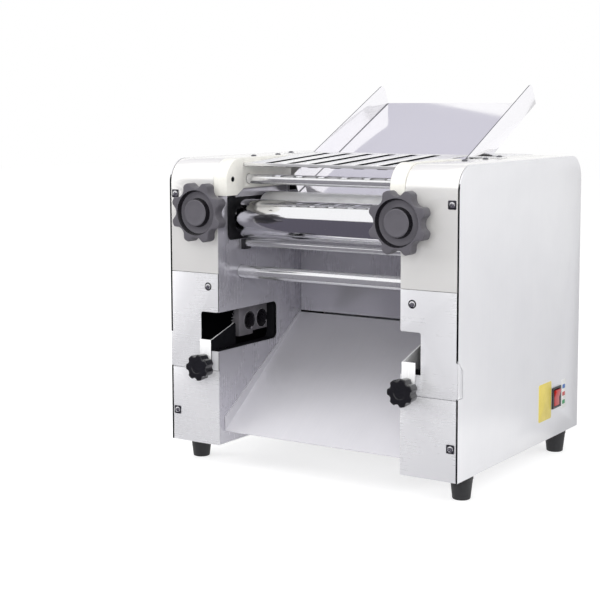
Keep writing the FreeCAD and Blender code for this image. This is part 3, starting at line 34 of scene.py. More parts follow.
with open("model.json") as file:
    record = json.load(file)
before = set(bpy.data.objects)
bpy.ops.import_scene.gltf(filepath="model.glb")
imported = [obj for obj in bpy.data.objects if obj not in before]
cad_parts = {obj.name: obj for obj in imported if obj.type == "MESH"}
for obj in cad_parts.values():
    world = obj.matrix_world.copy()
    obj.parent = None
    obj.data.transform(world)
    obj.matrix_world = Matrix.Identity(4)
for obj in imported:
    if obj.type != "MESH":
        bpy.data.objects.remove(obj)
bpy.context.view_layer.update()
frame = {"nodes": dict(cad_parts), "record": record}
record = frame["record"]
body_of = {node: body for body, nodes in record["behaviour"]["bodies"].items() for node in nodes}
slot_of = {part["node"]: part["material_slot"] for part in record["subparts"]}

MM = 0.001
LEFT, RIGHT = -1, 1
SIDES = (("left", LEFT), ("right", RIGHT))
X, Y, Z = Vector((1, 0, 0)), Vector((0, 1, 0)), Vector((0, 0, 1))
FRONT = -Y
MERGE = 0.01 * MM

# Places that the frame gives
panel_low, panel_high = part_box("right_side_panel")
front_plane = panel_low.y
casing_low = panel_low.z
casing_top = panel_high.z
half_width = panel_high.x


# Selecting and shaping

def new_object(name, data):
    item = bpy.data.objects.new(name, data)
    bpy.context.scene.collection.objects.link(item)
    return item


def rename(piece, name):
    piece.name = piece.data.name = name
    return piece


def select_only(piece):
    bpy.ops.object.select_all(action="DESELECT")
    piece.select_set(True)
    bpy.context.view_layer.objects.active = piece


def open_mesh(piece):
    select_only(piece)
    bpy.ops.object.mode_set(mode="EDIT")


def close_mesh():
    bpy.ops.object.mode_set(mode="OBJECT")


def pick(piece, kind, test):
    """Selects the faces, edges or vertices of the open mesh that pass the test."""
    bpy.ops.mesh.select_mode(type=kind)
    bpy.ops.mesh.select_all(action="DESELECT")
    mesh = bmesh.from_edit_mesh(piece.data)
    for part in {"VERT": mesh.verts, "EDGE": mesh.edges, "FACE": mesh.faces}[kind]:
        if test(part):
            part.select_set(True)
    bmesh.update_edit_mesh(piece.data)


def extrude(step=(0, 0, 0)):
    """Extrudes what is selected in the open mesh."""
    bpy.ops.mesh.extrude_region_move(TRANSFORM_OT_translate={"value": step})


def round_edges(width, segments):
    """Rounds the edges that are selected in the open mesh."""
    bpy.ops.mesh.bevel(offset=width, segments=segments, affect="EDGES", clamp_overlap=False)


def settle(piece, name):
    """Names a piece and puts its place into its mesh."""
    select_only(piece)
    bpy.ops.object.transform_apply(location=True, rotation=True, scale=True)
    return rename(piece, name)


def face_outwards(piece):
    open_mesh(piece)
    bpy.ops.mesh.select_all(action="SELECT")
    bpy.ops.mesh.normals_make_consistent(inside=False)
    close_mesh()


def smooth(piece, angle=30):
    select_only(piece)
    bpy.ops.object.shade_smooth_by_angle(angle=math.radians(angle))
    return piece


def apply_modifier(piece, kind, **settings):
    modifier = piece.modifiers.new(kind.lower(), kind)
    for label, value in settings.items():
        setattr(modifier, label, value)
    select_only(piece)
    bpy.ops.object.modifier_apply(modifier=modifier.name)


def soften_edges(piece, width, segments=2, angle=35):
    """Rounds every sharp edge, as a deburred sheet or a moulding has."""
    apply_modifier(piece, "BEVEL", width=width, segments=segments, limit_method="ANGLE",
                   angle_limit=math.radians(angle), use_clamp_overlap=False)


def cut_away(piece, cutter):
    apply_modifier(piece, "BOOLEAN", object=cutter, operation="DIFFERENCE", solver="EXACT")
    bpy.data.objects.remove(cutter)


def copy_node(node, name):
    """A copy of a node's mesh, merged and with its flat faces made whole, ready to be shaped."""
    piece = rename(new_object(name, frame["nodes"][node].data.copy()), name)
    open_mesh(piece)
    bpy.ops.mesh.customdata_custom_splitnormals_clear()
    bpy.ops.mesh.select_all(action="SELECT")
    bpy.ops.mesh.remove_doubles(threshold=MERGE)
    bpy.ops.mesh.dissolve_limited(angle_limit=math.radians(0.5))
    close_mesh()
    return piece


def joined(pieces, name):
    select_only(pieces[0])
    for piece in pieces[1:]:
        piece.select_set(True)
    bpy.ops.object.join()
    return rename(pieces[0], name)


def placed_copy(piece, place, axis):
    """A copy of a piece modelled at the origin along Z, turned to an axis and moved."""
    twin = new_object(piece.name, piece.data.copy())
    twin.rotation_euler = Z.rotation_difference(Vector(axis)).to_euler()
    twin.location = place
    return settle(twin, piece.name)


def paint(piece, material):
    piece.data.materials.clear()
    piece.data.materials.append(material)
    return piece


def ride_on(piece, node, material):
    """A new piece that is fixed to a node: it rides on that node's body and gets the given
    material.
    """
    paint(piece, material)
    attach(piece, body_of[node])
    return piece


def stand_for(piece, node, material):
    """A finished piece that takes a node's place."""
    ride_on(piece, node, material)
    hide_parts(node)
    return piece


# Turned and moulded shapes

def ring_start(place, axis, radius, sides):
    turn = Z.rotation_difference(axis).to_euler()
    bpy.ops.mesh.primitive_circle_add(vertices=sides, radius=radius, fill_type="NGON",
                                      location=place, rotation=turn)
    piece = bpy.context.object
    open_mesh(piece)
    pick(piece, "FACE", lambda face: True)
    return piece


def grow_rings(place, axis, rings):
    """Extrudes the selected end face through (distance along the axis, radius) rings."""
    along, radius = rings[0]
    for next_along, next_radius in rings[1:]:
        extrude(axis * (next_along - along))
        share = next_radius / radius
        bpy.ops.transform.resize(value=(share, share, share),
                                 center_override=place + axis * next_along)
        along, radius = next_along, next_radius


def turned(name, place, axis, rings, sides=64):
    """A turned piece: its rings are (distance along the axis, radius) from one end to the other."""
    place = Vector(place)
    piece = ring_start(place + axis * rings[0][0], axis, rings[0][1], sides)
    grow_rings(place, axis, rings)
    close_mesh()
    settle(piece, name)
    face_outwards(piece)
    return smooth(piece)


def pin(name, place, axis, radius, reach, edge, sides=48):
    """A turned pin whose far end has an edge: its length along the pin and its depth."""
    length, depth = edge
    rings = [(0.0, radius), (reach - length, radius), (reach, radius - depth)]
    return turned(name, place, axis, rings, sides)


def reshape_outline(piece, place, target):
    """Moves a front face's selected corners to the radius that target gives for their angle."""
    mesh = bmesh.from_edit_mesh(piece.data)
    groups = {}
    for vertex in [part for part in mesh.verts if part.select]:
        offset = piece.matrix_world @ vertex.co - place
        angle = math.atan2(offset.z, offset.x)
        radius = math.hypot(offset.z, offset.x)
        groups.setdefault(round(target(angle) / radius, 4), []).append(vertex.index)
    for share, indices in groups.items():
        chosen = set(indices)
        pick(piece, "VERT", lambda vertex: vertex.index in chosen)
        bpy.ops.transform.resize(value=(share, share, share), center_override=place)


HALVINGS = 30


def lobed_radius(lobes, outer, scallop_radius, scallop_depth, blend):
    """The outline of a hand knob: a circle with a round scallop on each axis, softly joined."""
    scallop_centre = outer + scallop_radius - scallop_depth
    step = 2 * math.pi / lobes

    def outside(radius, turn):
        """Above zero outside the outline, in the blend as well."""
        past_rim = radius - outer
        reach = math.sqrt(radius ** 2 + scallop_centre ** 2
                          - 2 * radius * scallop_centre * math.cos(turn))
        in_scallop = scallop_radius - reach
        share = max(0.0, min(1.0, 0.5 + 0.5 * (past_rim - in_scallop) / blend))
        return in_scallop + (past_rim - in_scallop) * share + blend * share * (1 - share)

    def radius(angle):
        turn = (angle + step / 2) % step - step / 2
        near, far = outer - scallop_depth - blend, outer
        for _ in range(HALVINGS):
            middle = (near + far) / 2
            if outside(middle, turn) > 0:
                far = middle
            else:
                near = middle
        return near

    return radius


def box_piece(name, low, high):
    low, high = Vector(low), Vector(high)
    bpy.ops.mesh.primitive_cube_add(size=1, location=(low + high) / 2)
    piece = bpy.context.object
    piece.scale = high - low
    return settle(piece, name)


def runs_along(edge, axis):
    direction = edge.verts[1].co - edge.verts[0].co
    return abs(direction.normalized().dot(axis)) > 0.999


def plate_piece(name, low, high, axis, corner, edge_width):
    """A flat plate across an axis with round corners and softened edges."""
    piece = box_piece(name, low, high)
    open_mesh(piece)
    pick(piece, "EDGE", lambda edge: runs_along(edge, axis))
    round_edges(corner, 6)
    close_mesh()
    soften_edges(piece, edge_width)
    return smooth(piece)


# Shader groups

VECTOR, FLOAT = "NodeSocketVector", "NodeSocketFloat"
FACTOR, FIRST, SECOND, RESULT = 0, 6, 7, 2


def set_inputs(tree, node, inputs):
    """Links a node's inputs where they are given a socket, and sets the others."""
    for socket, value in inputs:
        if isinstance(value, bpy.types.NodeSocket):
            tree.links.new(value, node.inputs[socket])
        else:
            node.inputs[socket].default_value = value


def add_node(tree, kind, inputs=(), **settings):
    node = tree.nodes.new(kind)
    for label, value in settings.items():
        setattr(node, label, value)
    set_inputs(tree, node, inputs)
    return node


def calculate(tree, operation, first, second=0.0, third=0.0, clamp=False):
    inputs = ((0, first), (1, second), (2, third))
    node = add_node(tree, "ShaderNodeMath", inputs, operation=operation, use_clamp=clamp)
    return node.outputs[0]


def spread(tree, value, low, high):
    """Stretches what lies between low and high to nought to one."""
    inputs = ((0, value), (1, low), (2, high))
    return add_node(tree, "ShaderNodeMapRange", inputs).outputs[0]


def scaled(tree, vector, scale):
    return add_node(tree, "ShaderNodeVectorMath", ((0, vector), (1, scale)),
                    operation="MULTIPLY").outputs[0]


def noise(tree, vector, scale, detail=2.0, roughness=0.5):
    inputs = (("Vector", vector), ("Scale", scale), ("Detail", detail), ("Roughness", roughness))
    return add_node(tree, "ShaderNodeTexNoise", inputs).outputs["Fac"]


def new_group(name, output, *inputs):
    """A group that is given a place and the named inputs."""
    tree = bpy.data.node_groups.new(name, "ShaderNodeTree")
    for label, kind, value in (("Place", VECTOR, (0, 0, 0)), *inputs):
        socket = tree.interface.new_socket(label, in_out="INPUT", socket_type=kind)
        socket.default_value = value
    tree.interface.new_socket(output, in_out="OUTPUT", socket_type=FLOAT)
    return tree, add_node(tree, "NodeGroupInput").outputs


def end_group(tree, output, value):
    add_node(tree, "NodeGroupOutput", ((output, value),))
    return tree


def make_brushed_grain():
    """Long fine streaks of a brushed or rolled sheet, with a slower drift across them."""
    tree, given = new_group("brushed_grain", "Streaks", ("Fineness", VECTOR, (3000, 3000, 40)))
    fine = noise(tree, scaled(tree, given["Place"], given["Fineness"]), 1.0, 3.0, 0.6)
    slower = scaled(tree, given["Fineness"], (0.12, 0.12, 0.12))
    coarse = noise(tree, scaled(tree, given["Place"], slower), 1.0, 2.0)
    both = calculate(tree, "MULTIPLY_ADD", fine, 0.65, calculate(tree, "MULTIPLY", coarse, 0.35))
    return end_group(tree, "Streaks", spread(tree, both, 0.3, 0.7))


def make_soft_mottle():
    """Broad uneven patches, as handling and cleaning leave."""
    tree, given = new_group("soft_mottle", "Mask", ("Patches", FLOAT, 12.0))
    patches = noise(tree, given["Place"], given["Patches"], 4.0, 0.55)
    return end_group(tree, "Mask", spread(tree, patches, 0.35, 0.65))


def make_edge_wear():
    """Edges where the surface turns sharply, broken up by small noise."""
    tree, given = new_group("edge_wear", "Mask", ("Reach", FLOAT, MM), ("Break Up", FLOAT, 300.0))
    rounded = add_node(tree, "ShaderNodeBevel", (("Radius", given["Reach"]),), samples=4).outputs[0]
    flat = add_node(tree, "ShaderNodeNewGeometry").outputs["Normal"]
    turn = add_node(tree, "ShaderNodeVectorMath", ((0, rounded), (1, flat)),
                    operation="DOT_PRODUCT").outputs["Value"]
    edge = spread(tree, calculate(tree, "SUBTRACT", 1.0, turn), 0.02, 0.22)
    broken = spread(tree, noise(tree, given["Place"], given["Break Up"], 3.0), 0.3, 0.6)
    return end_group(tree, "Mask", calculate(tree, "MULTIPLY", edge, broken, clamp=True))


def make_moulded_grain():
    """The fine pebbled skin of a moulded part or a sand casting."""
    tree, given = new_group("moulded_grain", "Height", ("Fineness", FLOAT, 2500.0))
    cells = add_node(tree, "ShaderNodeTexVoronoi",
                     (("Vector", given["Place"]), ("Scale", given["Fineness"]))).outputs["Distance"]
    pits = noise(tree, given["Place"], calculate(tree, "MULTIPLY", given["Fineness"], 0.4), 3.0)
    return end_group(tree, "Height", calculate(tree, "MULTIPLY_ADD", cells, 0.5, pits))


def make_settled_dust():
    """Dust and flour on what faces up."""
    tree, given = new_group("settled_dust", "Mask", ("Speckle", FLOAT, 900.0))
    normal = add_node(tree, "ShaderNodeNewGeometry").outputs["Normal"]
    facing = add_node(tree, "ShaderNodeSeparateXYZ", ((0, normal),)).outputs["Z"]
    speckle = spread(tree, noise(tree, given["Place"], given["Speckle"], 4.0, 0.7), 0.5, 0.75)
    broad = spread(tree, noise(tree, given["Place"], 25.0, 2.0), 0.35, 0.65)
    lying = calculate(tree, "MULTIPLY", speckle, broad)
    upward = spread(tree, facing, 0.5, 1.0)
    return end_group(tree, "Mask", calculate(tree, "MULTIPLY", lying, upward))


brushed_grain = make_brushed_grain()
soft_mottle = make_soft_mottle()
edge_wear = make_edge_wear()
moulded_grain = make_moulded_grain()
settled_dust = make_settled_dust()


# Finishes

def new_material(name):
    material = bpy.data.materials.new(name)
    material.use_nodes = True
    return material


class Finish:
    """A material whose colour, roughness and relief are laid on a Principled shader one by one."""

    def __init__(self, name, colour, roughness, metallic, coat=0.0, specular=0.5):
        self.material = new_material(name)
        self.tree = self.material.node_tree
        self.shader = self.tree.nodes["Principled BSDF"]
        set_inputs(self.tree, self.shader, (
            ("Metallic", metallic), ("Coat Weight", coat), ("Coat Roughness", 0.15),
            ("Specular IOR Level", specular)))
        self.colour = (*colour, 1.0)
        self.roughness = roughness
        self.normal = None
        self.place = add_node(self.tree, "ShaderNodeTexCoord").outputs["Object"]

    def mask(self, group, output, **inputs):
        values = [("Place", self.place)]
        values += [(label.replace("_", " ").title(), value) for label, value in inputs.items()]
        return add_node(self.tree, "ShaderNodeGroup", values, node_tree=group).outputs[output]

    def tint(self, mask, colour, amount):
        share = calculate(self.tree, "MULTIPLY", mask, amount)
        inputs = ((FACTOR, share), (FIRST, self.colour), (SECOND, (*colour, 1.0)))
        mix = add_node(self.tree, "ShaderNodeMix", data_type="RGBA", inputs=inputs)
        self.colour = mix.outputs[RESULT]

    def roughen(self, mask, amount):
        self.roughness = calculate(self.tree, "MULTIPLY_ADD", mask, amount, self.roughness)

    def raise_by(self, mask, distance, strength):
        inputs = (("Height", mask), ("Distance", distance), ("Strength", strength))
        self.normal = add_node(self.tree, "ShaderNodeBump", inputs).outputs[0]

    def done(self):
        set_inputs(self.tree, self.shader, (
            ("Base Color", self.colour), ("Roughness", self.roughness), ("Normal", self.normal)))
        return self.material


def sheet_steel(name, colour, dark, roughness, fineness, metallic):
    """Brushed or rolled sheet: streaks in shade and roughness, and faint smudges."""
    finish = Finish(name, colour, roughness, metallic)
    streaks = finish.mask(brushed_grain, "Streaks", fineness=fineness)
    smudges = finish.mask(soft_mottle, "Mask", patches=14.0)
    finish.tint(streaks, dark, 0.18)
    finish.tint(smudges, dark, 0.18)
    finish.roughen(streaks, 0.03)
    finish.roughen(smudges, 0.05)
    finish.raise_by(streaks, 0.002 * MM, 0.1)
    return finish.done()


def polished(name, colour, roughness, fineness, metallic=1.0):
    """Ground and polished steel: fine turning lines and faint handling marks."""
    finish = Finish(name, colour, roughness, metallic)
    lines = finish.mask(brushed_grain, "Streaks", fineness=fineness)
    smudges = finish.mask(soft_mottle, "Mask", patches=30.0)
    finish.tint(lines, [channel * 0.86 for channel in colour], 0.4)
    finish.roughen(lines, 0.03)
    finish.roughen(smudges, 0.04)
    finish.raise_by(lines, 0.005 * MM, 0.2)
    return finish.done()


def casting(name, colour, bare, roughness, metallic, specular=0.5):
    """Painted or oiled casting: a sandy skin, worn bright on its edges."""
    finish = Finish(name, colour, roughness, metallic, specular=specular)
    skin = finish.mask(moulded_grain, "Height", fineness=900.0)
    smudges = finish.mask(soft_mottle, "Mask", patches=40.0)
    wear = finish.mask(edge_wear, "Mask", reach=0.9 * MM, break_up=350.0)
    finish.tint(smudges, [channel * 0.6 for channel in colour], 0.6)
    finish.tint(wear, bare, 0.6)
    finish.roughen(smudges, 0.12)
    finish.roughen(wear, -0.15)
    finish.raise_by(skin, 0.12 * MM, 0.5)
    return finish.done()


def moulding(name, colour, worn, roughness, fineness, relief, coat=0.0, dusty=0.3, specular=0.5):
    """Moulded plastic or rubber: a pebbled skin, paler edges and dust on top."""
    finish = Finish(name, colour, roughness, 0.0, coat, specular=specular)
    skin = finish.mask(moulded_grain, "Height", fineness=fineness)
    smudges = finish.mask(soft_mottle, "Mask", patches=60.0)
    wear = finish.mask(edge_wear, "Mask", reach=0.8 * MM, break_up=500.0)
    dust = finish.mask(settled_dust, "Mask", speckle=1800.0)
    finish.tint(smudges, [channel * 0.8 for channel in colour], 0.5)
    finish.tint(wear, worn, 0.35)
    finish.tint(dust, (0.75, 0.74, 0.70), dusty)
    finish.roughen(smudges, 0.08)
    finish.roughen(dust, 0.25)
    finish.raise_by(skin, relief, 0.4)
    return finish.done()


def printed(name, colour, worn):
    """Ink or film on plastic."""
    return moulding(name, colour, worn, 0.4, 2600.0, 0.01 * MM, 0.0, 0.1)


UPRIGHT = (3200, 3200, 30)
SIDEWAYS = (30, 3200, 3200)
DOWNHILL = (3200, 30, 30)
AROUND_X = (5000, 60, 60)
AROUND_Y = (60, 5000, 60)

side_satin = sheet_steel(
    "side_panel_satin", (0.84, 0.84, 0.86), (0.68, 0.68, 0.71), 0.34, UPRIGHT, 0.5)
cover_satin = sheet_steel(
    "cover_satin", (0.92, 0.91, 0.89), (0.80, 0.79, 0.78), 0.13, SIDEWAYS, 0.38)
stainless = sheet_steel(
    "brushed_stainless", (0.88, 0.88, 0.90), (0.76, 0.76, 0.80), 0.24, SIDEWAYS, 0.35)
# Stainless of the throat's liners and back shield, darker and bluer than the outer sheets: painted
# shade of the throat.
liner_steel_painted_shade = sheet_steel(
    "liner_stainless_painted_shade", (0.62, 0.61, 0.66), (0.50, 0.49, 0.55), 0.22, UPRIGHT, 0.6)
chute_steel = sheet_steel(
    "chute_stainless", (0.83, 0.82, 0.86), (0.70, 0.70, 0.74), 0.48, DOWNHILL, 0.65)
tray_steel = sheet_steel(
    "tray_stainless", (0.97, 0.96, 0.99), (0.91, 0.90, 0.94), 0.05, DOWNHILL, 0.9)
# A near-white, barely metallic copy of the sheet steel for the clamp brackets, so that they look
# bright: painted highlight.
bracket_steel_painted_light = sheet_steel(
    "bracket_steel_painted_light", (0.97, 0.97, 0.97), (0.90, 0.90, 0.92), 0.25, UPRIGHT, 0.1)
guard_steel = sheet_steel(
    "guard_stainless", (0.93, 0.93, 0.93), (0.80, 0.80, 0.82), 0.18, DOWNHILL, 0.7)
roller_steel = polished("roller_chrome", (0.93, 0.93, 0.95), 0.06, AROUND_X)
# A less metallic, lighter copy of the roller chrome for the rear roller, which is the same steel:
# painted light.
rear_roller_painted_light = polished("rear_roller_chrome_painted_light", (0.93, 0.93, 0.94), 0.30, AROUND_X, 0.45)
rod_steel = polished("rod_chrome", (0.92, 0.92, 0.94), 0.12, AROUND_X, 0.82)
cast_frame = casting("cast_frame", (0.010, 0.010, 0.012), (0.08, 0.08, 0.09), 0.55, 0.0, 0.08)
block_metal = casting("block_metal", (0.055, 0.055, 0.062), (0.28, 0.28, 0.30), 0.48, 0.7)
dark_steel = casting("dark_steel", (0.045, 0.045, 0.050), (0.30, 0.30, 0.32), 0.42, 0.8)
bearing_grey = casting("bearing_grey", (0.23, 0.22, 0.24), (0.40, 0.40, 0.42), 0.5, 0.3)
gear_steel = casting("gear_steel", (0.33, 0.32, 0.31), (0.62, 0.61, 0.60), 0.36, 1.0)
motor_paint = casting("motor_paint", (0.05, 0.09, 0.12), (0.25, 0.27, 0.28), 0.5, 0.2)
socket_steel = casting("socket_steel", (0.40, 0.39, 0.42), (0.60, 0.60, 0.62), 0.42, 0.2)
screw_steel = polished("screw_steel", (0.82, 0.82, 0.84), 0.22, AROUND_Y)
# Dark polished steel for the dark screws and clips, also used as painted shade on the tray's rims
# and folds.
dark_screw_and_painted_shade = polished("dark_screw_and_painted_shade", (0.16, 0.16, 0.18), 0.32, AROUND_Y)
knob_grey = moulding("knob_grey", (0.105, 0.100, 0.115), (0.24, 0.23, 0.25), 0.46, 2600.0,
                     0.06 * MM)
# Glossy near-black for painted shade in recesses: the adjusting knobs' dish walls and the sockets'
# bores.
recess_painted_shade = moulding("recess_painted_shade", (0.012, 0.011, 0.014), (0.05, 0.05, 0.06), 0.22, 2600.0,
                       0.03 * MM)
# Near-black finish for painted shade: cut edges at gaps, unlit inner walls, guard slots, keyholes
# and the cover screws' holes.
painted_shade_black = moulding("painted_shade_black", (0.006, 0.006, 0.008), (0.02, 0.02, 0.022), 0.6, 1500.0,
                      0.02 * MM, 0.0, 0.0, 0.08)
knob_black = moulding("knob_black", (0.008, 0.008, 0.010), (0.07, 0.07, 0.08), 0.16, 1500.0,
                      0.02 * MM, 0.6)
cover_cream = moulding("cover_cream", (0.90, 0.885, 0.825), (0.95, 0.94, 0.90), 0.30, 1100.0,
                       0.03 * MM, 0.2)
foot_rubber = moulding("foot_rubber", (0.014, 0.014, 0.016), (0.06, 0.06, 0.065), 0.55, 1300.0,
                       0.08 * MM)
belt_rubber = moulding("belt_rubber", (0.016, 0.016, 0.018), (0.05, 0.05, 0.05), 0.6, 1300.0,
                       0.08 * MM)
switch_black = moulding("switch_black", (0.012, 0.012, 0.014), (0.06, 0.06, 0.07), 0.3, 2200.0,
                        0.03 * MM)
switch_red = moulding("switch_red", (0.55, 0.022, 0.018), (0.72, 0.12, 0.09), 0.26, 2600.0,
                      0.02 * MM, 0.3, 0.1)
mark_white = printed("mark_white", (0.85, 0.85, 0.83), (0.9, 0.9, 0.9))
mark_blue = printed("mark_blue", (0.05, 0.16, 0.48), (0.2, 0.3, 0.5))
mark_green = printed("mark_green", (0.04, 0.30, 0.12), (0.2, 0.4, 0.2))
label_yellow = moulding("label_yellow", (0.86, 0.70, 0.13), (0.93, 0.80, 0.30), 0.38, 900.0,
                        0.02 * MM, 0.1, 0.15)

slot_material = {
    "side_panel": side_satin, "top_cover": cover_satin, "stainless": stainless,
    "mirror_stainless": tray_steel, "polished_steel": rod_steel, "cast_frame": cast_frame,
    "block_metal": block_metal, "dark_steel": dark_steel, "gear_steel": gear_steel,
    "knob_grey": knob_grey, "knob_black": knob_black, "roller_cover": cover_cream,
    "foot_rubber": foot_rubber, "belt_rubber": belt_rubber, "motor_paint": motor_paint,
    "switch_black": switch_black, "switch_red": switch_red, "screw_steel": screw_steel,
}
for node, item in frame["nodes"].items():
    paint(item, slot_material[slot_of[node]])


# Casing and throat sheets

SUNK = 0.05 * MM
SHEET_EDGE = 0.4 * MM
THIN_EDGE = 0.3 * MM
FLANGE_REAR = 4 * MM
GAP_DEPTH = 2.2 * MM


def dress_sheets():
    """The folded sheets keep their shape and get deburred edges."""
    rows = [
        ("side_panel", side_satin, SHEET_EDGE),
        ("top_cover", cover_satin, SHEET_EDGE),
        ("front_plate", stainless, THIN_EDGE),
        ("liner", liner_steel_painted_shade, THIN_EDGE),
        ("clamp_bracket", bracket_steel_painted_light, THIN_EDGE),
    ]
    for side, sign in SIDES:
        for kind, material, width in rows:
            piece = dress(side + "_" + kind, material, width)
            if kind == "top_cover":
                paint(add_inner_flange(side, sign, piece), material)
            # Painted shade: the sheets' cut front edges get the near-black finish, as the shadow of
            # the gap.
            if kind in ("front_plate", "side_panel"):
                darken(piece, painted_shade_black, is_front_edge)
            # Painted shade: the side panels' inner walls get the near-black finish.
            if kind == "side_panel":
                darken(piece, painted_shade_black, lambda face: is_inner_wall(face, sign))
            # Painted shade: the left clamp bracket's side faces get the near-black finish.
            if kind == "clamp_bracket" and sign == LEFT:
                darken(piece, painted_shade_black, lambda face: abs(face.normal.x) > 0.9)
    dress("base_pan", stainless, THIN_EDGE)
    dress("back_panel", stainless, THIN_EDGE)
    dress("back_shield", liner_steel_painted_shade, THIN_EDGE)
    dress("discharge_chute", chute_steel, THIN_EDGE)
    tray = dress("feed_tray", tray_steel, THIN_EDGE)
    # Painted shade: the tray's top rims get the dark finish as a dark outline.
    darken(tray, dark_screw_and_painted_shade, is_tray_rim)
    dress("tray_brackets", guard_steel, THIN_EDGE)
    add_tray_fold_shade()
    add_tray_lip()


def darken(piece, material, test):
    """Gives the faces that pass the test a second material."""
    piece.data.materials.append(material)
    for face in piece.data.polygons:
        if test(face):
            face.material_index = len(piece.data.materials) - 1


def is_front_edge(face):
    """A sheet's cut edge on the machine's front, painted black as painted shade where the gap
    between the sheets shows.
    """
    in_front = face.center.y < front_plane + GAP_DEPTH
    on_plate = abs(face.normal.x) > 0.9 and abs(face.center.x) < half_width - 0.5 * MM
    on_panel = face.normal.y < -0.9 and abs(face.center.x) > half_width - GAP_DEPTH
    return in_front and (on_plate or on_panel)


def is_inner_wall(face, sign):
    """The inner face of a side panel, painted black as painted shade, since it is unlit inside the
    casing.
    """
    return face.normal.x * sign < -0.9 and abs(face.center.x) < half_width - MM


TRAY_ANGLE = math.radians(26.2)
TRAY_ALONG = Vector((0, math.cos(TRAY_ANGLE), math.sin(TRAY_ANGLE)))
TRAY_ABOVE = Vector((0, -math.sin(TRAY_ANGLE), math.cos(TRAY_ANGLE)))
TRAY_GAUGE = 1.5 * MM
TRAY_LENGTH = 241.8 * MM
TRAY_LIP_DEPTH = 173 * MM
TRAY_LIP_HEIGHT = 311.8 * MM
FOLD_WIDTH = 1.3 * MM
FOLD_RISE = 0.5 * MM
FOLD_INSET = 1.5 * MM
TRAY_LIP_REACH = 18 * MM
TRAY_LIP_SIDE = 26 * MM
TRAY_LIP_ROUND = 6 * MM


def is_tray_rim(face):
    """The cut edge along the top of each side of the tray."""
    on_side = abs(face.center.x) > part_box("feed_tray")[1].x - TRAY_GAUGE - 0.1 * MM
    return on_side and face.normal.dot(TRAY_ABOVE) > 0.6


def add_tray_fold_shade():
    """A thin dark strip of painted shade along each fold between the tray's floor and its sides."""
    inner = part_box("feed_tray")[1].x - TRAY_GAUGE
    half = Vector((FOLD_WIDTH / 2, FOLD_RISE / 2, 0))
    strip = box_piece("fold", -half, half + Z * (TRAY_LENGTH + TRAY_LIP_REACH - 2 * FOLD_INSET))
    start = tray_lip_place() + TRAY_ALONG * (FOLD_INSET - TRAY_LIP_REACH) + TRAY_ABOVE * TRAY_GAUGE
    for side, sign in SIDES:
        place = start + X * sign * (inner - FOLD_WIDTH / 2)
        fold = rename(placed_copy(strip, place, TRAY_ALONG), "tray_fold_shade_" + side)
        ride_on(fold, "feed_tray", dark_screw_and_painted_shade)
    bpy.data.objects.remove(strip)


def tray_lip_place():
    """The middle of the lower edge of the tray's floor, on its underside."""
    floor = Vector((0, front_plane + TRAY_LIP_DEPTH, casing_low + TRAY_LIP_HEIGHT))
    return floor - TRAY_ABOVE * TRAY_GAUGE


def add_tray_lip():
    """The channel that carries the tray's floor and sides on, down to the rear roller."""
    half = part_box("feed_tray")[1].x
    inner = half - TRAY_GAUGE
    lip = box_piece("tray_lip", (-half, -TRAY_LIP_REACH, 0), (half, 0, TRAY_GAUGE + TRAY_LIP_SIDE))
    past = MM
    cut_away(lip, box_piece("inside", (-inner, -TRAY_LIP_REACH - past, TRAY_GAUGE),
                            (inner, past, TRAY_GAUGE + TRAY_LIP_SIDE + past)))
    open_mesh(lip)
    pick(lip, "EDGE", lambda edge: runs_along(edge, X) and all(
        vertex.co.z > TRAY_LIP_SIDE and vertex.co.y < -TRAY_LIP_REACH / 2 for vertex in edge.verts))
    round_edges(TRAY_LIP_ROUND, 5)
    close_mesh()
    lip.rotation_euler = (TRAY_ANGLE, 0, 0)
    lip.location = tray_lip_place()
    settle(lip, "tray_lip")
    ride_on(smooth(lip), "feed_tray", tray_steel)


def add_inner_flange(side, sign, cover):
    """The strip that the top cover turns down inside, behind the cream cover."""
    cream_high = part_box(side + "_roller_cover")[1]
    liner_low, liner_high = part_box(side + "_liner")
    inner = min(abs(liner_low.x), abs(liner_high.x))
    low = (sign * inner, cream_high.y + 0.5 * MM, liner_high.z + 0.5 * MM)
    high = (sign * (inner + MM), FLANGE_REAR, casing_top - 1.2 * MM)
    corners = [sorted(pair) for pair in zip(low, high)]
    strip = box_piece("flange", [pair[0] for pair in corners], [pair[1] for pair in corners])
    soften_edges(strip, 0.2 * MM)
    return joined([cover, strip], cover.name)


def dress(node, material, width, segments=2, angle=35):
    piece = copy_node(node, node + "_finished")
    soften_edges(piece, width, segments, angle)
    smooth(piece, 32)
    return stand_for(piece, node, material)


def dress_castings():
    for side, _ in SIDES:
        dress(side + "_frame_plate", cast_frame, 0.8 * MM, 3)
        dress(side + "_front_block", block_metal, 0.5 * MM)
        dress(side + "_rear_block", block_metal, 0.5 * MM)
        dress(side + "_roller_cover", cover_cream, 0.9 * MM, 3)
    dress("cutter_bearing_plate", bearing_grey, 0.6 * MM, 3)


# Guard over the rollers

GUARD_TILT = math.radians(3.25)
GUARD_GAUGE = 1.5 * MM
SLOT_WIDTH = 11 * MM
SLOT_PITCH = 31.8 * MM
SLOT_FRONT = 4 * MM
SLOT_LENGTH = 136 * MM
SLOTS = 6
LIP_DEPTH = 3 * MM
LIP_WALL = 0.8 * MM


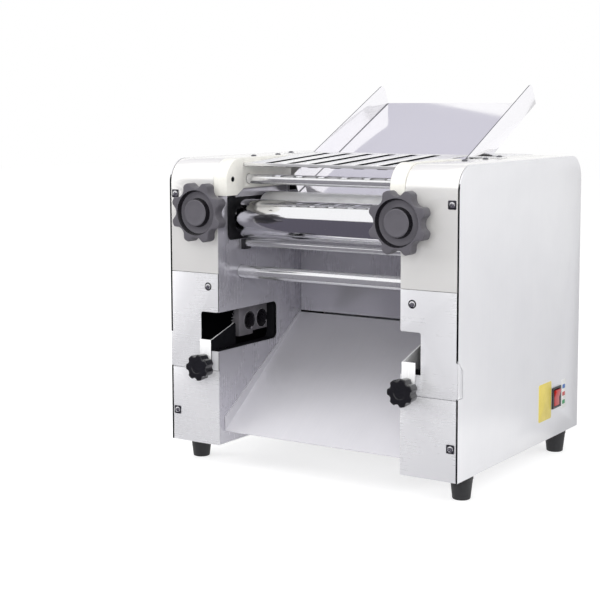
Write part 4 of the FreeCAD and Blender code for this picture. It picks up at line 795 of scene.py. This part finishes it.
def make_guard():
    """The slotted sheet, with a turned-down lip round each slot; the slot walls and lips get the
    near-black finish as painted shade, which makes the slots look black.
    """
    guard = dress("guard_grille", guard_steel, 0.2 * MM)
    low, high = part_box("guard_grille")
    darken(guard, painted_shade_black, lambda face: is_slot_wall(face, low.y, high.y))
    along = Vector((0, math.cos(GUARD_TILT), math.sin(GUARD_TILT)))
    above = Vector((0, -math.sin(GUARD_TILT), math.cos(GUARD_TILT)))
    front_edge = Vector((0, low.y, high.z - (high.y - low.y) * math.tan(GUARD_TILT)))
    middle = front_edge + along * (SLOT_FRONT + SLOT_LENGTH / 2) - above * GUARD_GAUGE
    lip = slot_lip()
    places = [middle + X * SLOT_PITCH * (number - (SLOTS - 1) / 2) for number in range(SLOTS)]
    lips = [placed_copy(lip, place, above) for place in places]
    bpy.data.objects.remove(lip)
    ride_on(joined(lips, "guard_slot_shade_lips"), "guard_grille", painted_shade_black)


def is_slot_wall(face, front, back):
    """The walls of the guard's slots, which are upright and away from its front and back."""
    across = abs(face.center.x) < SLOT_PITCH * (SLOTS - 1) / 2 + SLOT_WIDTH
    inside = front + GUARD_GAUGE + MM < face.center.y < back - MM
    return across and inside and abs(face.normal.z) < 0.6


def slot_lip():
    """A four-sided lip that hangs down from the origin, open at its top and bottom."""
    bpy.ops.mesh.primitive_plane_add(size=1)
    lip = bpy.context.object
    lip.scale = (SLOT_WIDTH + 2 * LIP_WALL, SLOT_LENGTH + 2 * LIP_WALL, 1)
    settle(lip, "slot_lip")
    open_mesh(lip)
    pick(lip, "FACE", lambda face: True)
    bpy.ops.mesh.inset(thickness=LIP_WALL)
    pick(lip, "FACE", lambda face: face.calc_center_median().length < 0.1 * MM)
    bpy.ops.mesh.delete(type="FACE")
    bpy.ops.mesh.select_all(action="SELECT")
    extrude((0, 0, -LIP_DEPTH))
    close_mesh()
    face_outwards(lip)
    return lip


# Rollers and rods

ROLLER_END = 121 * MM
JOURNAL_RADIUS = 10 * MM
ROLLER_CHAMFER = 2 * MM


def make_rollers():
    for node in ("front_roller", "rear_roller"):
        low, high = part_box(node)
        place = (low + high) / 2
        radius = (high.z - low.z) / 2
        journal = JOURNAL_RADIUS
        chamfer = ROLLER_CHAMFER
        start, stop = low.x - place.x, high.x - place.x
        left, right = -ROLLER_END - place.x, ROLLER_END - place.x
        rings = [
            (start, journal - chamfer / 2), (start + chamfer / 2, journal), (left, journal),
            (left, radius - chamfer), (left + chamfer * 0.3, radius - chamfer * 0.3),
            (left + chamfer, radius), (right - chamfer, radius),
            (right - chamfer * 0.3, radius - chamfer * 0.3), (right, radius - chamfer),
            (right, journal), (stop - chamfer / 2, journal), (stop, journal - chamfer / 2),
        ]
        # The rear roller takes the lighter copy of the chrome: painted light.
        steel = roller_steel if node == "front_roller" else rear_roller_painted_light
        stand_for(turned(node + "_turned", place, X, rings, 128), node, steel)


def make_rods():
    for node in ("upper_tie_rod", "lower_tie_rod"):
        low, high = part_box(node)
        place = (low + high) / 2
        radius = (high.z - low.z) / 2
        reach = (high.x - low.x) / 2
        edge = 0.8 * MM
        rings = [(-reach, radius - edge), (edge - reach, radius), (reach - edge, radius),
                 (reach, radius - edge)]
        stand_for(turned(node + "_turned", place, X, rings, 96), node, rod_steel)


# Knobs

def lobed_body(place, outline, outer, rings, sides):
    """A lobed prism grown forwards from its back: rings are (distance, share of the outline)."""
    piece = ring_start(place, FRONT, outer, sides)
    reshape_outline(piece, place, outline)
    pick(piece, "FACE", lambda face: True)
    grow_rings(place, FRONT, [(along, outer * share) for along, share in rings])
    return piece


KNOB_RADIUS = 36.6 * MM
KNOB_SCALLOP = 9.5 * MM
KNOB_SCALLOP_DEPTH = 7.6 * MM
KNOB_BLEND = 4 * MM
KNOB_RIM = 16 * MM
KNOB_FACE = KNOB_RIM - 1.25 * MM
KNOB_LOBES = 8
KNOB_SIDES = 192
KNOB_ROUND = 1.1 * MM
KNOB_DISH = 27.2 * MM
KNOB_DEPTH = 6.2 * MM
BUTTON_RADIUS = 15.8 * MM
KNOB_SCREW_RADIUS = 4 * MM
KNOB_HUB_RADIUS = 12.5 * MM


def make_adjust_knobs():
    """Lobed grey knobs, dished in front round a raised button, on a hub and a long screw."""
    outline = lobed_radius(KNOB_LOBES, KNOB_RADIUS, KNOB_SCALLOP, KNOB_SCALLOP_DEPTH, KNOB_BLEND)
    for side, _ in SIDES:
        node = side + "_adjust_knob"
        low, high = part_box(node)
        centre = Vector(((low.x + high.x) / 2, low.y, (low.z + high.z) / 2))
        rim_place = centre + Y * KNOB_RIM
        piece = dished_knob(centre, rim_place, outline)
        settle(piece, node + "_moulded")
        face_outwards(piece)
        stand_for(smooth(piece, 40), node, knob_grey)
        # Painted shade on the dish's two walls.
        darken(piece, recess_painted_shade, lambda face: is_dish_wall(face, centre))
        screw_place = rim_place + Y * 0.5 * MM
        screw = pin(node + "_screw", screw_place, Y, KNOB_SCREW_RADIUS, high.y - screw_place.y,
                    (0.8 * MM, 0.8 * MM))
        ride_on(screw, node, screw_steel)
        hub = pin(node + "_hub", rim_place - Y * 0.2 * MM, Y, KNOB_HUB_RADIUS,
                  front_plane + 1.5 * MM - rim_place.y, (MM, 0.7 * MM), 64)
        ride_on(hub, node, knob_grey)


def dished_knob(centre, rim_place, outline):
    """The knob's body, grown from its back to its button."""
    face, floor = KNOB_FACE, KNOB_FACE - KNOB_DEPTH
    body = [(0.0, 0.985), (1.0 * MM, 1.0), (face, 1.0)]
    dish = [
        (face, KNOB_DISH), (face - 0.4 * MM, 26.8 * MM), (floor + 0.5 * MM, 25.2 * MM),
        (floor, 24.6 * MM), (floor, 18.0 * MM), (floor + 0.4 * MM, 17.5 * MM),
        (face - 0.6 * MM, 16.2 * MM), (face + 0.2 * MM, 15.9 * MM), (face + 0.7 * MM, 15.2 * MM),
        (face + 0.8 * MM, 14.2 * MM), (face + 0.6 * MM, 13.6 * MM), (face + 0.6 * MM, 8.0 * MM),
    ]
    piece = lobed_body(rim_place, outline, KNOB_RADIUS, body, KNOB_SIDES)
    extrude()
    level = rim_place + FRONT * face
    reshape_outline(piece, level, lambda angle: KNOB_DISH)
    pick(piece, "FACE", lambda part: is_front_disc(piece, part, centre, level.y))
    grow_rings(rim_place, FRONT, dish)
    past = KNOB_DISH + 0.5 * MM
    pick(piece, "EDGE", lambda edge: on_outline(piece, edge, centre, past, level.y))
    round_edges(KNOB_ROUND, 3)
    close_mesh()
    return piece


def is_dish_wall(face, centre):
    """The two walls of the dish, which get painted shade."""
    radius = math.hypot(face.center.x - centre.x, face.center.z - centre.z)
    behind = face.center.y > centre.y + KNOB_RIM - KNOB_FACE
    return behind and abs(face.normal.y) < 0.75 and BUTTON_RADIUS < radius < KNOB_DISH


def is_front_disc(piece, face, centre, level):
    spot = piece.matrix_world @ face.calc_center_median()
    near = math.hypot(spot.x - centre.x, spot.z - centre.z) < 1 * MM
    return near and abs(spot.y - level) < 0.05 * MM


def on_outline(piece, edge, centre, radius, level):
    """Tells whether an edge lies along the lobed outline of the front face."""
    ends = [piece.matrix_world @ vertex.co for vertex in edge.verts]
    outside = all(math.hypot(end.x - centre.x, end.z - centre.z) > radius for end in ends)
    return outside and all(abs(end.y - level) < 0.01 * MM for end in ends)


CLAMP_RADIUS = 15.4 * MM
CLAMP_SCALLOP = 3.4 * MM
CLAMP_SCALLOP_DEPTH = 2.6 * MM
CLAMP_BLEND = 1.5 * MM
CLAMP_LENGTH = 15 * MM
CLAMP_LOBES = 7
CLAMP_SIDES = 140
CLAMP_ROUND = 1.6 * MM
CLAMP_DISH = 7.4 * MM
CLAMP_HEIGHT = 9 * MM
CLAMP_HUB_RADIUS = 7 * MM
STUD_RADIUS = 3 * MM


def make_clamp_knobs():
    """Small black lobed knobs, dished in front, on a hub and a stud."""
    outline = lobed_radius(CLAMP_LOBES, CLAMP_RADIUS, CLAMP_SCALLOP, CLAMP_SCALLOP_DEPTH,
                           CLAMP_BLEND)
    for side, _ in SIDES:
        node = side + "_clamp_knob"
        low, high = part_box(node)
        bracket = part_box(side + "_clamp_bracket")[0]
        centre = Vector(((low.x + high.x) / 2, low.y, bracket.z + CLAMP_HEIGHT))
        back = centre + Y * CLAMP_LENGTH
        piece = clamp_body(centre, back, outline)
        settle(piece, node + "_moulded")
        face_outwards(piece)
        stand_for(smooth(piece, 40), node, knob_black)
        edge = (0.6 * MM, 0.6 * MM)
        hub = pin(node + "_hub", back - Y * 0.2 * MM, Y, CLAMP_HUB_RADIUS,
                  bracket.y - back.y - 0.1 * MM, edge)
        ride_on(hub, node, knob_black)
        stud = pin(node + "_stud", back, Y, STUD_RADIUS, high.y - back.y, edge, 32)
        ride_on(stud, node, screw_steel)


def clamp_body(centre, back, outline):
    """The clamp knob's body, grown from its back to the shallow dish in its face."""
    body = [(0.0, 0.94), (CLAMP_LENGTH, 1.0)]
    piece = lobed_body(back, outline, CLAMP_RADIUS, body, CLAMP_SIDES)
    pick(piece, "EDGE", lambda edge: on_outline(piece, edge, centre, CLAMP_HUB_RADIUS, centre.y))
    round_edges(CLAMP_ROUND, 4)
    pick(piece, "FACE", lambda face: is_front_disc(piece, face, centre, centre.y))
    extrude()
    reshape_outline(piece, centre, lambda angle: CLAMP_DISH)
    pick(piece, "FACE", lambda face: is_front_disc(piece, face, centre, centre.y))
    grow_rings(back, FRONT, [(CLAMP_LENGTH, CLAMP_DISH),
                             (CLAMP_LENGTH - 0.7 * MM, CLAMP_DISH - 0.5 * MM),
                             (CLAMP_LENGTH - 0.8 * MM, 4.0 * MM)])
    close_mesh()
    return piece


# Small fasteners

SCREW_RADIUS = 3.6 * MM
SCREW_RISE = 1.9 * MM
TOP_SCREW_X = 150 * MM
TOP_SCREW_ROWS = (110 * MM, 165 * MM)
BRACKET_SCREW_X = 152 * MM
BRACKET_SCREW_Y = 199 * MM
BRACKET_GAUGE = 1.5 * MM
EDGE_SCREW_INSET = 9 * MM
EDGE_SCREW_LEVELS = (38 * MM, 309 * MM)
CLIP_HALF = 5 * MM
KEYHOLE_X = 142 * MM
KEYHOLE_LEVEL = 196.5 * MM
KEYHOLE_RADIUS = 5 * MM
COVER_SCREW_RADIUS = 3.2 * MM
COVER_SCREW_DEPTH = 13 * MM
COVER_SCREW_LEVEL = 20 * MM


def screw_head(name, radius, rise):
    """A cross-recessed pan head at the origin, along Z."""
    rings = [(-0.2 * MM, radius * 0.96), (rise * 0.25, radius), (rise * 0.6, radius * 0.9),
             (rise * 0.88, radius * 0.62), (rise, radius * 0.3)]
    head = turned(name, (0, 0, 0), Z, rings, 32)
    arm, width, deep = radius * 0.62, radius * 0.13, rise * 0.35
    for first, second in ((arm, width), (width, arm)):
        cut_away(head, box_piece("recess", (-first, -second, deep), (first, second, rise * 2)))
    return smooth(head, 35)


def make_screws():
    """The identical visible screws, modelled once and copied to their places."""
    head = screw_head("panel_screw_head", SCREW_RADIUS, SCREW_RISE)
    heads = [placed_copy(head, place, axis) for place, axis in screw_places()]
    bpy.data.objects.remove(head)
    piece = joined(heads, "panel_screws_finished")
    stand_for(piece, "panel_screws", screw_steel)
    darken(piece, dark_screw_and_painted_shade, lambda face: face.center.z > casing_top)
    # Painted shade: a thin near-black disc behind each keyhole screw stands for the dark keyhole
    # round it.
    for number, place in enumerate(keyhole_places()):
        keyhole = pin("keyhole_%d" % number, place + Y * 0.3 * MM, FRONT, KEYHOLE_RADIUS, 0.5 * MM,
                      (SUNK, 0.2 * MM))
        ride_on(keyhole, "panel_screws", painted_shade_black)
    for number, place in enumerate(edge_screw_places()):
        low = place - Vector((CLIP_HALF, 0.6 * MM, CLIP_HALF))
        high = place + Vector((CLIP_HALF, 0.1 * MM, CLIP_HALF))
        clip = plate_piece("edge_clip_%d" % number, low, high, Y, 1.2 * MM, 0.15 * MM)
        ride_on(clip, "panel_screws", dark_screw_and_painted_shade)


def screw_places():
    places = [(place, FRONT) for place in edge_screw_places() + keyhole_places()]
    for _, sign in SIDES:
        for row in TOP_SCREW_ROWS:
            places.append((Vector((sign * TOP_SCREW_X, front_plane + row, casing_top)), Z))
        places.append((Vector((sign * BRACKET_SCREW_X, front_plane + BRACKET_SCREW_Y,
                               casing_top + BRACKET_GAUGE)), Z))
    return places


def edge_screw_places():
    return [Vector((sign * (half_width - EDGE_SCREW_INSET), front_plane, casing_low + level))
            for _, sign in SIDES for level in EDGE_SCREW_LEVELS]


def keyhole_places():
    return [Vector((sign * KEYHOLE_X, front_plane, casing_low + KEYHOLE_LEVEL))
            for _, sign in SIDES]


def make_cover_screws():
    """The recessed screw that holds each cream cover to its casting, a near-black disc: the screw,
    with painted shade of its hole.
    """
    for side, sign in SIDES:
        node = side + "_roller_cover"
        low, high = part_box(node)
        inner = min(abs(low.x), abs(high.x)) + 0.2 * MM
        place = Vector((sign * inner, low.y + COVER_SCREW_DEPTH, low.z + COVER_SCREW_LEVEL))
        screw = pin(side + "_cover_screw", place, X * -sign, COVER_SCREW_RADIUS, 0.5 * MM,
                    (0.2 * MM, 0.4 * MM))
        ride_on(screw, node, painted_shade_black)


# Feet

FOOT_TOP = 13.5 * MM
FOOT_BOTTOM = 10.5 * MM
FOOT_HEIGHT = 28 * MM
FOOT_COLLAR = 5 * MM


def make_feet():
    """Tapered rubber feet, dished below and with a collar at the top."""
    low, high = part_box("feet")
    top, bottom, collar = FOOT_TOP, FOOT_BOTTOM, FOOT_HEIGHT - FOOT_COLLAR
    rings = [(1.2 * MM, 4.0 * MM), (1.0 * MM, 6.5 * MM), (0.0, 7.5 * MM), (0.0, bottom - 1.2 * MM),
             (0.5 * MM, bottom - 0.3 * MM), (1.4 * MM, bottom), (collar, top - 0.5 * MM),
             (collar + 0.6 * MM, top), (FOOT_HEIGHT - 1.4 * MM, top),
             (FOOT_HEIGHT - 0.6 * MM, top - 0.5 * MM), (FOOT_HEIGHT, top - 1.4 * MM)]
    places = [Vector((sign * (high.x - top), y_place, 0.0))
              for _, sign in SIDES for y_place in (low.y + top, high.y - top)]
    pieces = [turned("foot", place, Z, rings, 64) for place in places]
    stand_for(joined(pieces, "feet_moulded"), "feet", foot_rubber)


# Scrapers

HOLDER_WIDTH = 5 * MM


def make_scrapers():
    """A bright bar under each roller, in a black holder at each end."""
    for node in ("front_scraper", "rear_scraper"):
        piece = dress(node, rod_steel, 0.3 * MM)
        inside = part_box(node)[1].x - HOLDER_WIDTH - 0.1 * MM
        darken(piece, knob_black, lambda face: abs(face.center.x) > inside)


# Cutter sockets

SOCKET_BORE = 9.4 * MM


def make_sockets():
    """Turned drive sockets with a bright rim, and painted shade in the bore."""
    for node in ("front_cutter_coupling", "rear_cutter_coupling"):
        piece = dress(node, socket_steel, 0.3 * MM, 2, 40)
        low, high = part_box(node)
        middle = (low + high) / 2
        # Painted shade: the bore's faces get the near-black finish.
        darken(piece, recess_painted_shade, lambda face: math.hypot(
            face.center.y - middle.y, face.center.z - middle.z) < SOCKET_BORE + 0.2 * MM)


# Switch and labels

STRIP_DEPTHS = (3 * MM, 17 * MM)
STRIP_LEVELS = (-18 * MM, 19 * MM)
MARK_HALF_WIDTH = 4.2 * MM
MARK_HALF_HEIGHT = 2.6 * MM
STICKER_DEPTHS = (218 * MM, 256 * MM)
STICKER_LEVELS = (26 * MM, 73 * MM)


def make_switch():
    """The rocker in its bezel, with a strip of three plain marks beside it."""
    dress("switch_bezel", switch_black, 0.5 * MM, 3)
    dress("switch_rocker", switch_red, 0.6 * MM, 3)
    low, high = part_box("switch_bezel")
    centre = (low + high) / 2
    strip_low, strip_high = (
        Vector((half_width + out, high.y + depth, centre.z + level))
        for out, depth, level in zip((-SUNK, 0.3 * MM), STRIP_DEPTHS, STRIP_LEVELS))
    strip = plate_piece("switch_strip", strip_low, strip_high, X, 1.5 * MM, 0.1 * MM)
    ride_on(strip, "switch_bezel", mark_white)
    middle = strip_low.lerp(strip_high, 0.5)
    rows = ((mark_blue, 0.76), (switch_red, 0.5), (mark_green, 0.22))
    for number, (material, share) in enumerate(rows):
        level = strip_low.z + (strip_high.z - strip_low.z) * share
        spot_low = (strip_high.x - 0.1 * MM, middle.y - MARK_HALF_WIDTH, level - MARK_HALF_HEIGHT)
        spot_high = (strip_high.x + 0.12 * MM, middle.y + MARK_HALF_WIDTH,
                     level + MARK_HALF_HEIGHT)
        spot = plate_piece("switch_mark_%d" % number, spot_low, spot_high, X, 1.2 * MM, 0.04 * MM)
        ride_on(spot, "switch_bezel", material)


def make_sticker():
    """A blank yellow sticker in front of the switch."""
    low, high = (
        Vector((half_width + out, front_plane + depth, casing_low + level))
        for out, depth, level in zip((-SUNK, 0.25 * MM), STICKER_DEPTHS, STICKER_LEVELS))
    label = plate_piece("side_sticker", low, high, X, 2.5 * MM, 0.08 * MM)
    ride_on(label, "right_side_panel", label_yellow)


# Floor, light and camera

BACKGROUND_RAYS = ("Is Camera Ray", "Is Glossy Ray", "Is Transmission Ray")
FLOOR_SHADE = 0.55
FLOOR_GLOW = 0.62
SKY_STRENGTH = 0.75
SKY_RAMP = ((0.0, (0.50, 0.50, 0.52, 1)), (0.55, (1, 1, 1, 1)))
FLAG_LEAN = 0.1
FLAG_DARK = (0.105, 0.098, 0.125)
FLAG_GREY = (0.60, 0.59, 0.66)
FLAG_PALE = (0.74, 0.74, 0.76)


def seen_by(tree, *rays):
    """One for rays of the named kinds, and nought for the rest."""
    kinds = add_node(tree, "ShaderNodeLightPath").outputs
    seen = kinds[rays[0]]
    for ray in rays[1:]:
        seen = calculate(tree, "MAXIMUM", seen, kinds[ray])
    return seen


def make_floor():
    """A pale matt floor that meets the white background without a line and keeps the shadow."""
    bpy.ops.mesh.primitive_plane_add(size=12, location=(0, 0, 0))
    floor = bpy.context.object
    floor.name = "floor"
    material = new_material("floor_white")
    tree = material.node_tree
    strength = calculate(tree, "MULTIPLY", seen_by(tree, *BACKGROUND_RAYS), FLOOR_GLOW)
    set_inputs(tree, tree.nodes["Principled BSDF"], (
        ("Base Color", (FLOOR_SHADE, FLOOR_SHADE, FLOOR_SHADE, 1)), ("Roughness", 1.0),
        ("Specular IOR Level", 0.0), ("Emission Color", (1, 1, 1, 1)),
        ("Emission Strength", strength)))
    paint(floor, material)


def make_flag(name, colour, place, size, turn, rise=0.0):
    """A studio flag that only reflections see: a sheet, with its far edge turned up by rise."""
    bpy.ops.mesh.primitive_plane_add(size=1, location=place, rotation=turn)
    flag = bpy.context.object
    flag.scale = (*size, 1)
    settle(flag, name)
    if rise:
        open_mesh(flag)
        far = min(vertex.co.y for vertex in flag.data.vertices)
        pick(flag, "EDGE", lambda edge: all(vertex.co.y < far + MM for vertex in edge.verts))
        extrude((0, -rise * FLAG_LEAN, rise))
        close_mesh()
    material = new_material(name)
    tree = material.node_tree
    tree.nodes.clear()
    shine = add_node(tree, "ShaderNodeEmission", (("Color", (*colour, 1)), ("Strength", 1.0)))
    add_node(tree, "ShaderNodeOutputMaterial", ((0, shine.outputs[0]),))
    paint(flag, material)
    flag.visible_camera = flag.visible_diffuse = False
    flag.visible_transmission = flag.visible_shadow = False


def make_world():
    """White where the camera and reflections look, and for the rest a soft sky, darker low down."""
    world = bpy.data.worlds.new("studio")
    bpy.context.scene.world = world
    world.use_nodes = True
    tree = world.node_tree
    tree.nodes.clear()
    direction = add_node(tree, "ShaderNodeTexCoord").outputs["Generated"]
    rise = add_node(tree, "ShaderNodeSeparateXYZ", ((0, direction),)).outputs["Z"]
    ramp = add_node(tree, "ShaderNodeValToRGB", (("Fac", rise),))
    for element, (position, colour) in zip(ramp.color_ramp.elements, SKY_RAMP):
        element.position, element.color = position, colour
    sky = add_node(tree, "ShaderNodeBackground",
                   (("Color", ramp.outputs[0]), ("Strength", SKY_STRENGTH)))
    white = add_node(tree, "ShaderNodeBackground", (("Color", (1, 1, 1, 1)), ("Strength", 1.0)))
    seen = seen_by(tree, *BACKGROUND_RAYS)
    mix = add_node(tree, "ShaderNodeMixShader",
                   ((0, seen), (1, sky.outputs[0]), (2, white.outputs[0])))
    add_node(tree, "ShaderNodeOutputWorld", ((0, mix.outputs[0]),))


LAMPS = (
    ("key_light", (-2.4, -1.6, 0.9), 0.2, (1.0, 1.0), 26),
    ("fill_light", (1.1, -2.4, 0.8), 0.2, (1.6, 1.2), 34),
    ("top_light", (-0.6, -0.9, 1.9), 0.2, (1.6, 1.6), 8),
    ("side_light", (1.9, 0.3, 1.3), 0.25, (1.4, 1.4), 8),
)


def add_lamp(name, place, aim_height, size, power):
    """A soft lamp aimed at the machine's middle, which reflections don't show."""
    lamp = bpy.data.lights.new(name, "AREA")
    lamp.shape = "RECTANGLE"
    lamp.size, lamp.size_y = size
    lamp.energy = power
    item = new_object(name, lamp)
    item.visible_glossy = False
    item.location = place
    item.rotation_euler = (Vector(place) - Z * aim_height).to_track_quat("Z", "Y").to_euler()


CAMERA_PLACE = Vector((0.89805, -1.55649, 0.45084))
CAMERA_AZIMUTH = 33.3309
CAMERA_PITCH = 6.02568
CAMERA_ROLL = -0.16539
FOCAL_PIXELS = 1419.12
RISE_PIXELS = 50
IMAGE_SIZE = 600
SENSOR = 36


def make_camera():
    azimuth, pitch, roll = (math.radians(a) for a in (CAMERA_AZIMUTH, CAMERA_PITCH, CAMERA_ROLL))
    ahead = Vector((-math.sin(azimuth) * math.cos(pitch), math.cos(azimuth) * math.cos(pitch),
                    -math.sin(pitch)))
    level = Vector((math.cos(azimuth), math.sin(azimuth), 0))
    above = level.cross(ahead)
    across = level * math.cos(roll) + above * math.sin(roll)
    up = above * math.cos(roll) - level * math.sin(roll)
    lens = bpy.data.cameras.new("camera")
    lens.sensor_width = SENSOR
    lens.lens = FOCAL_PIXELS * SENSOR / IMAGE_SIZE
    lens.shift_y = -RISE_PIXELS / IMAGE_SIZE
    camera = new_object("camera", lens)
    turn = Matrix((across, up, -ahead)).transposed()
    camera.matrix_world = Matrix.Translation(CAMERA_PLACE) @ turn.to_4x4()
    bpy.context.scene.camera = camera


make_camera()
dress_sheets()
dress_castings()
make_guard()
make_rollers()
make_rods()
make_adjust_knobs()
make_clamp_knobs()
make_screws()
make_cover_screws()
make_feet()
make_scrapers()
make_sockets()
make_switch()
make_sticker()
dress("cable_gland", switch_black, 0.4 * MM, 3)
make_floor()
make_flag("front_flag", FLAG_DARK, (0, -1.14, 2 * MM), (5.6, 1.88), (0, 0, 0), 0.95)
make_flag("upper_flag", FLAG_GREY, (-1.25, 1.05, 2.1), (1.9, 1.9),
          (math.radians(-38), math.radians(-40), 0))
make_flag("side_flag", FLAG_PALE, (1.05, 1.15, 2 * MM), (1.7, 2.0), (0, 0, 0))
make_world()
for lamp_values in LAMPS:
    add_lamp(*lamp_values)

bpy.context.scene.view_settings.view_transform = "Standard"
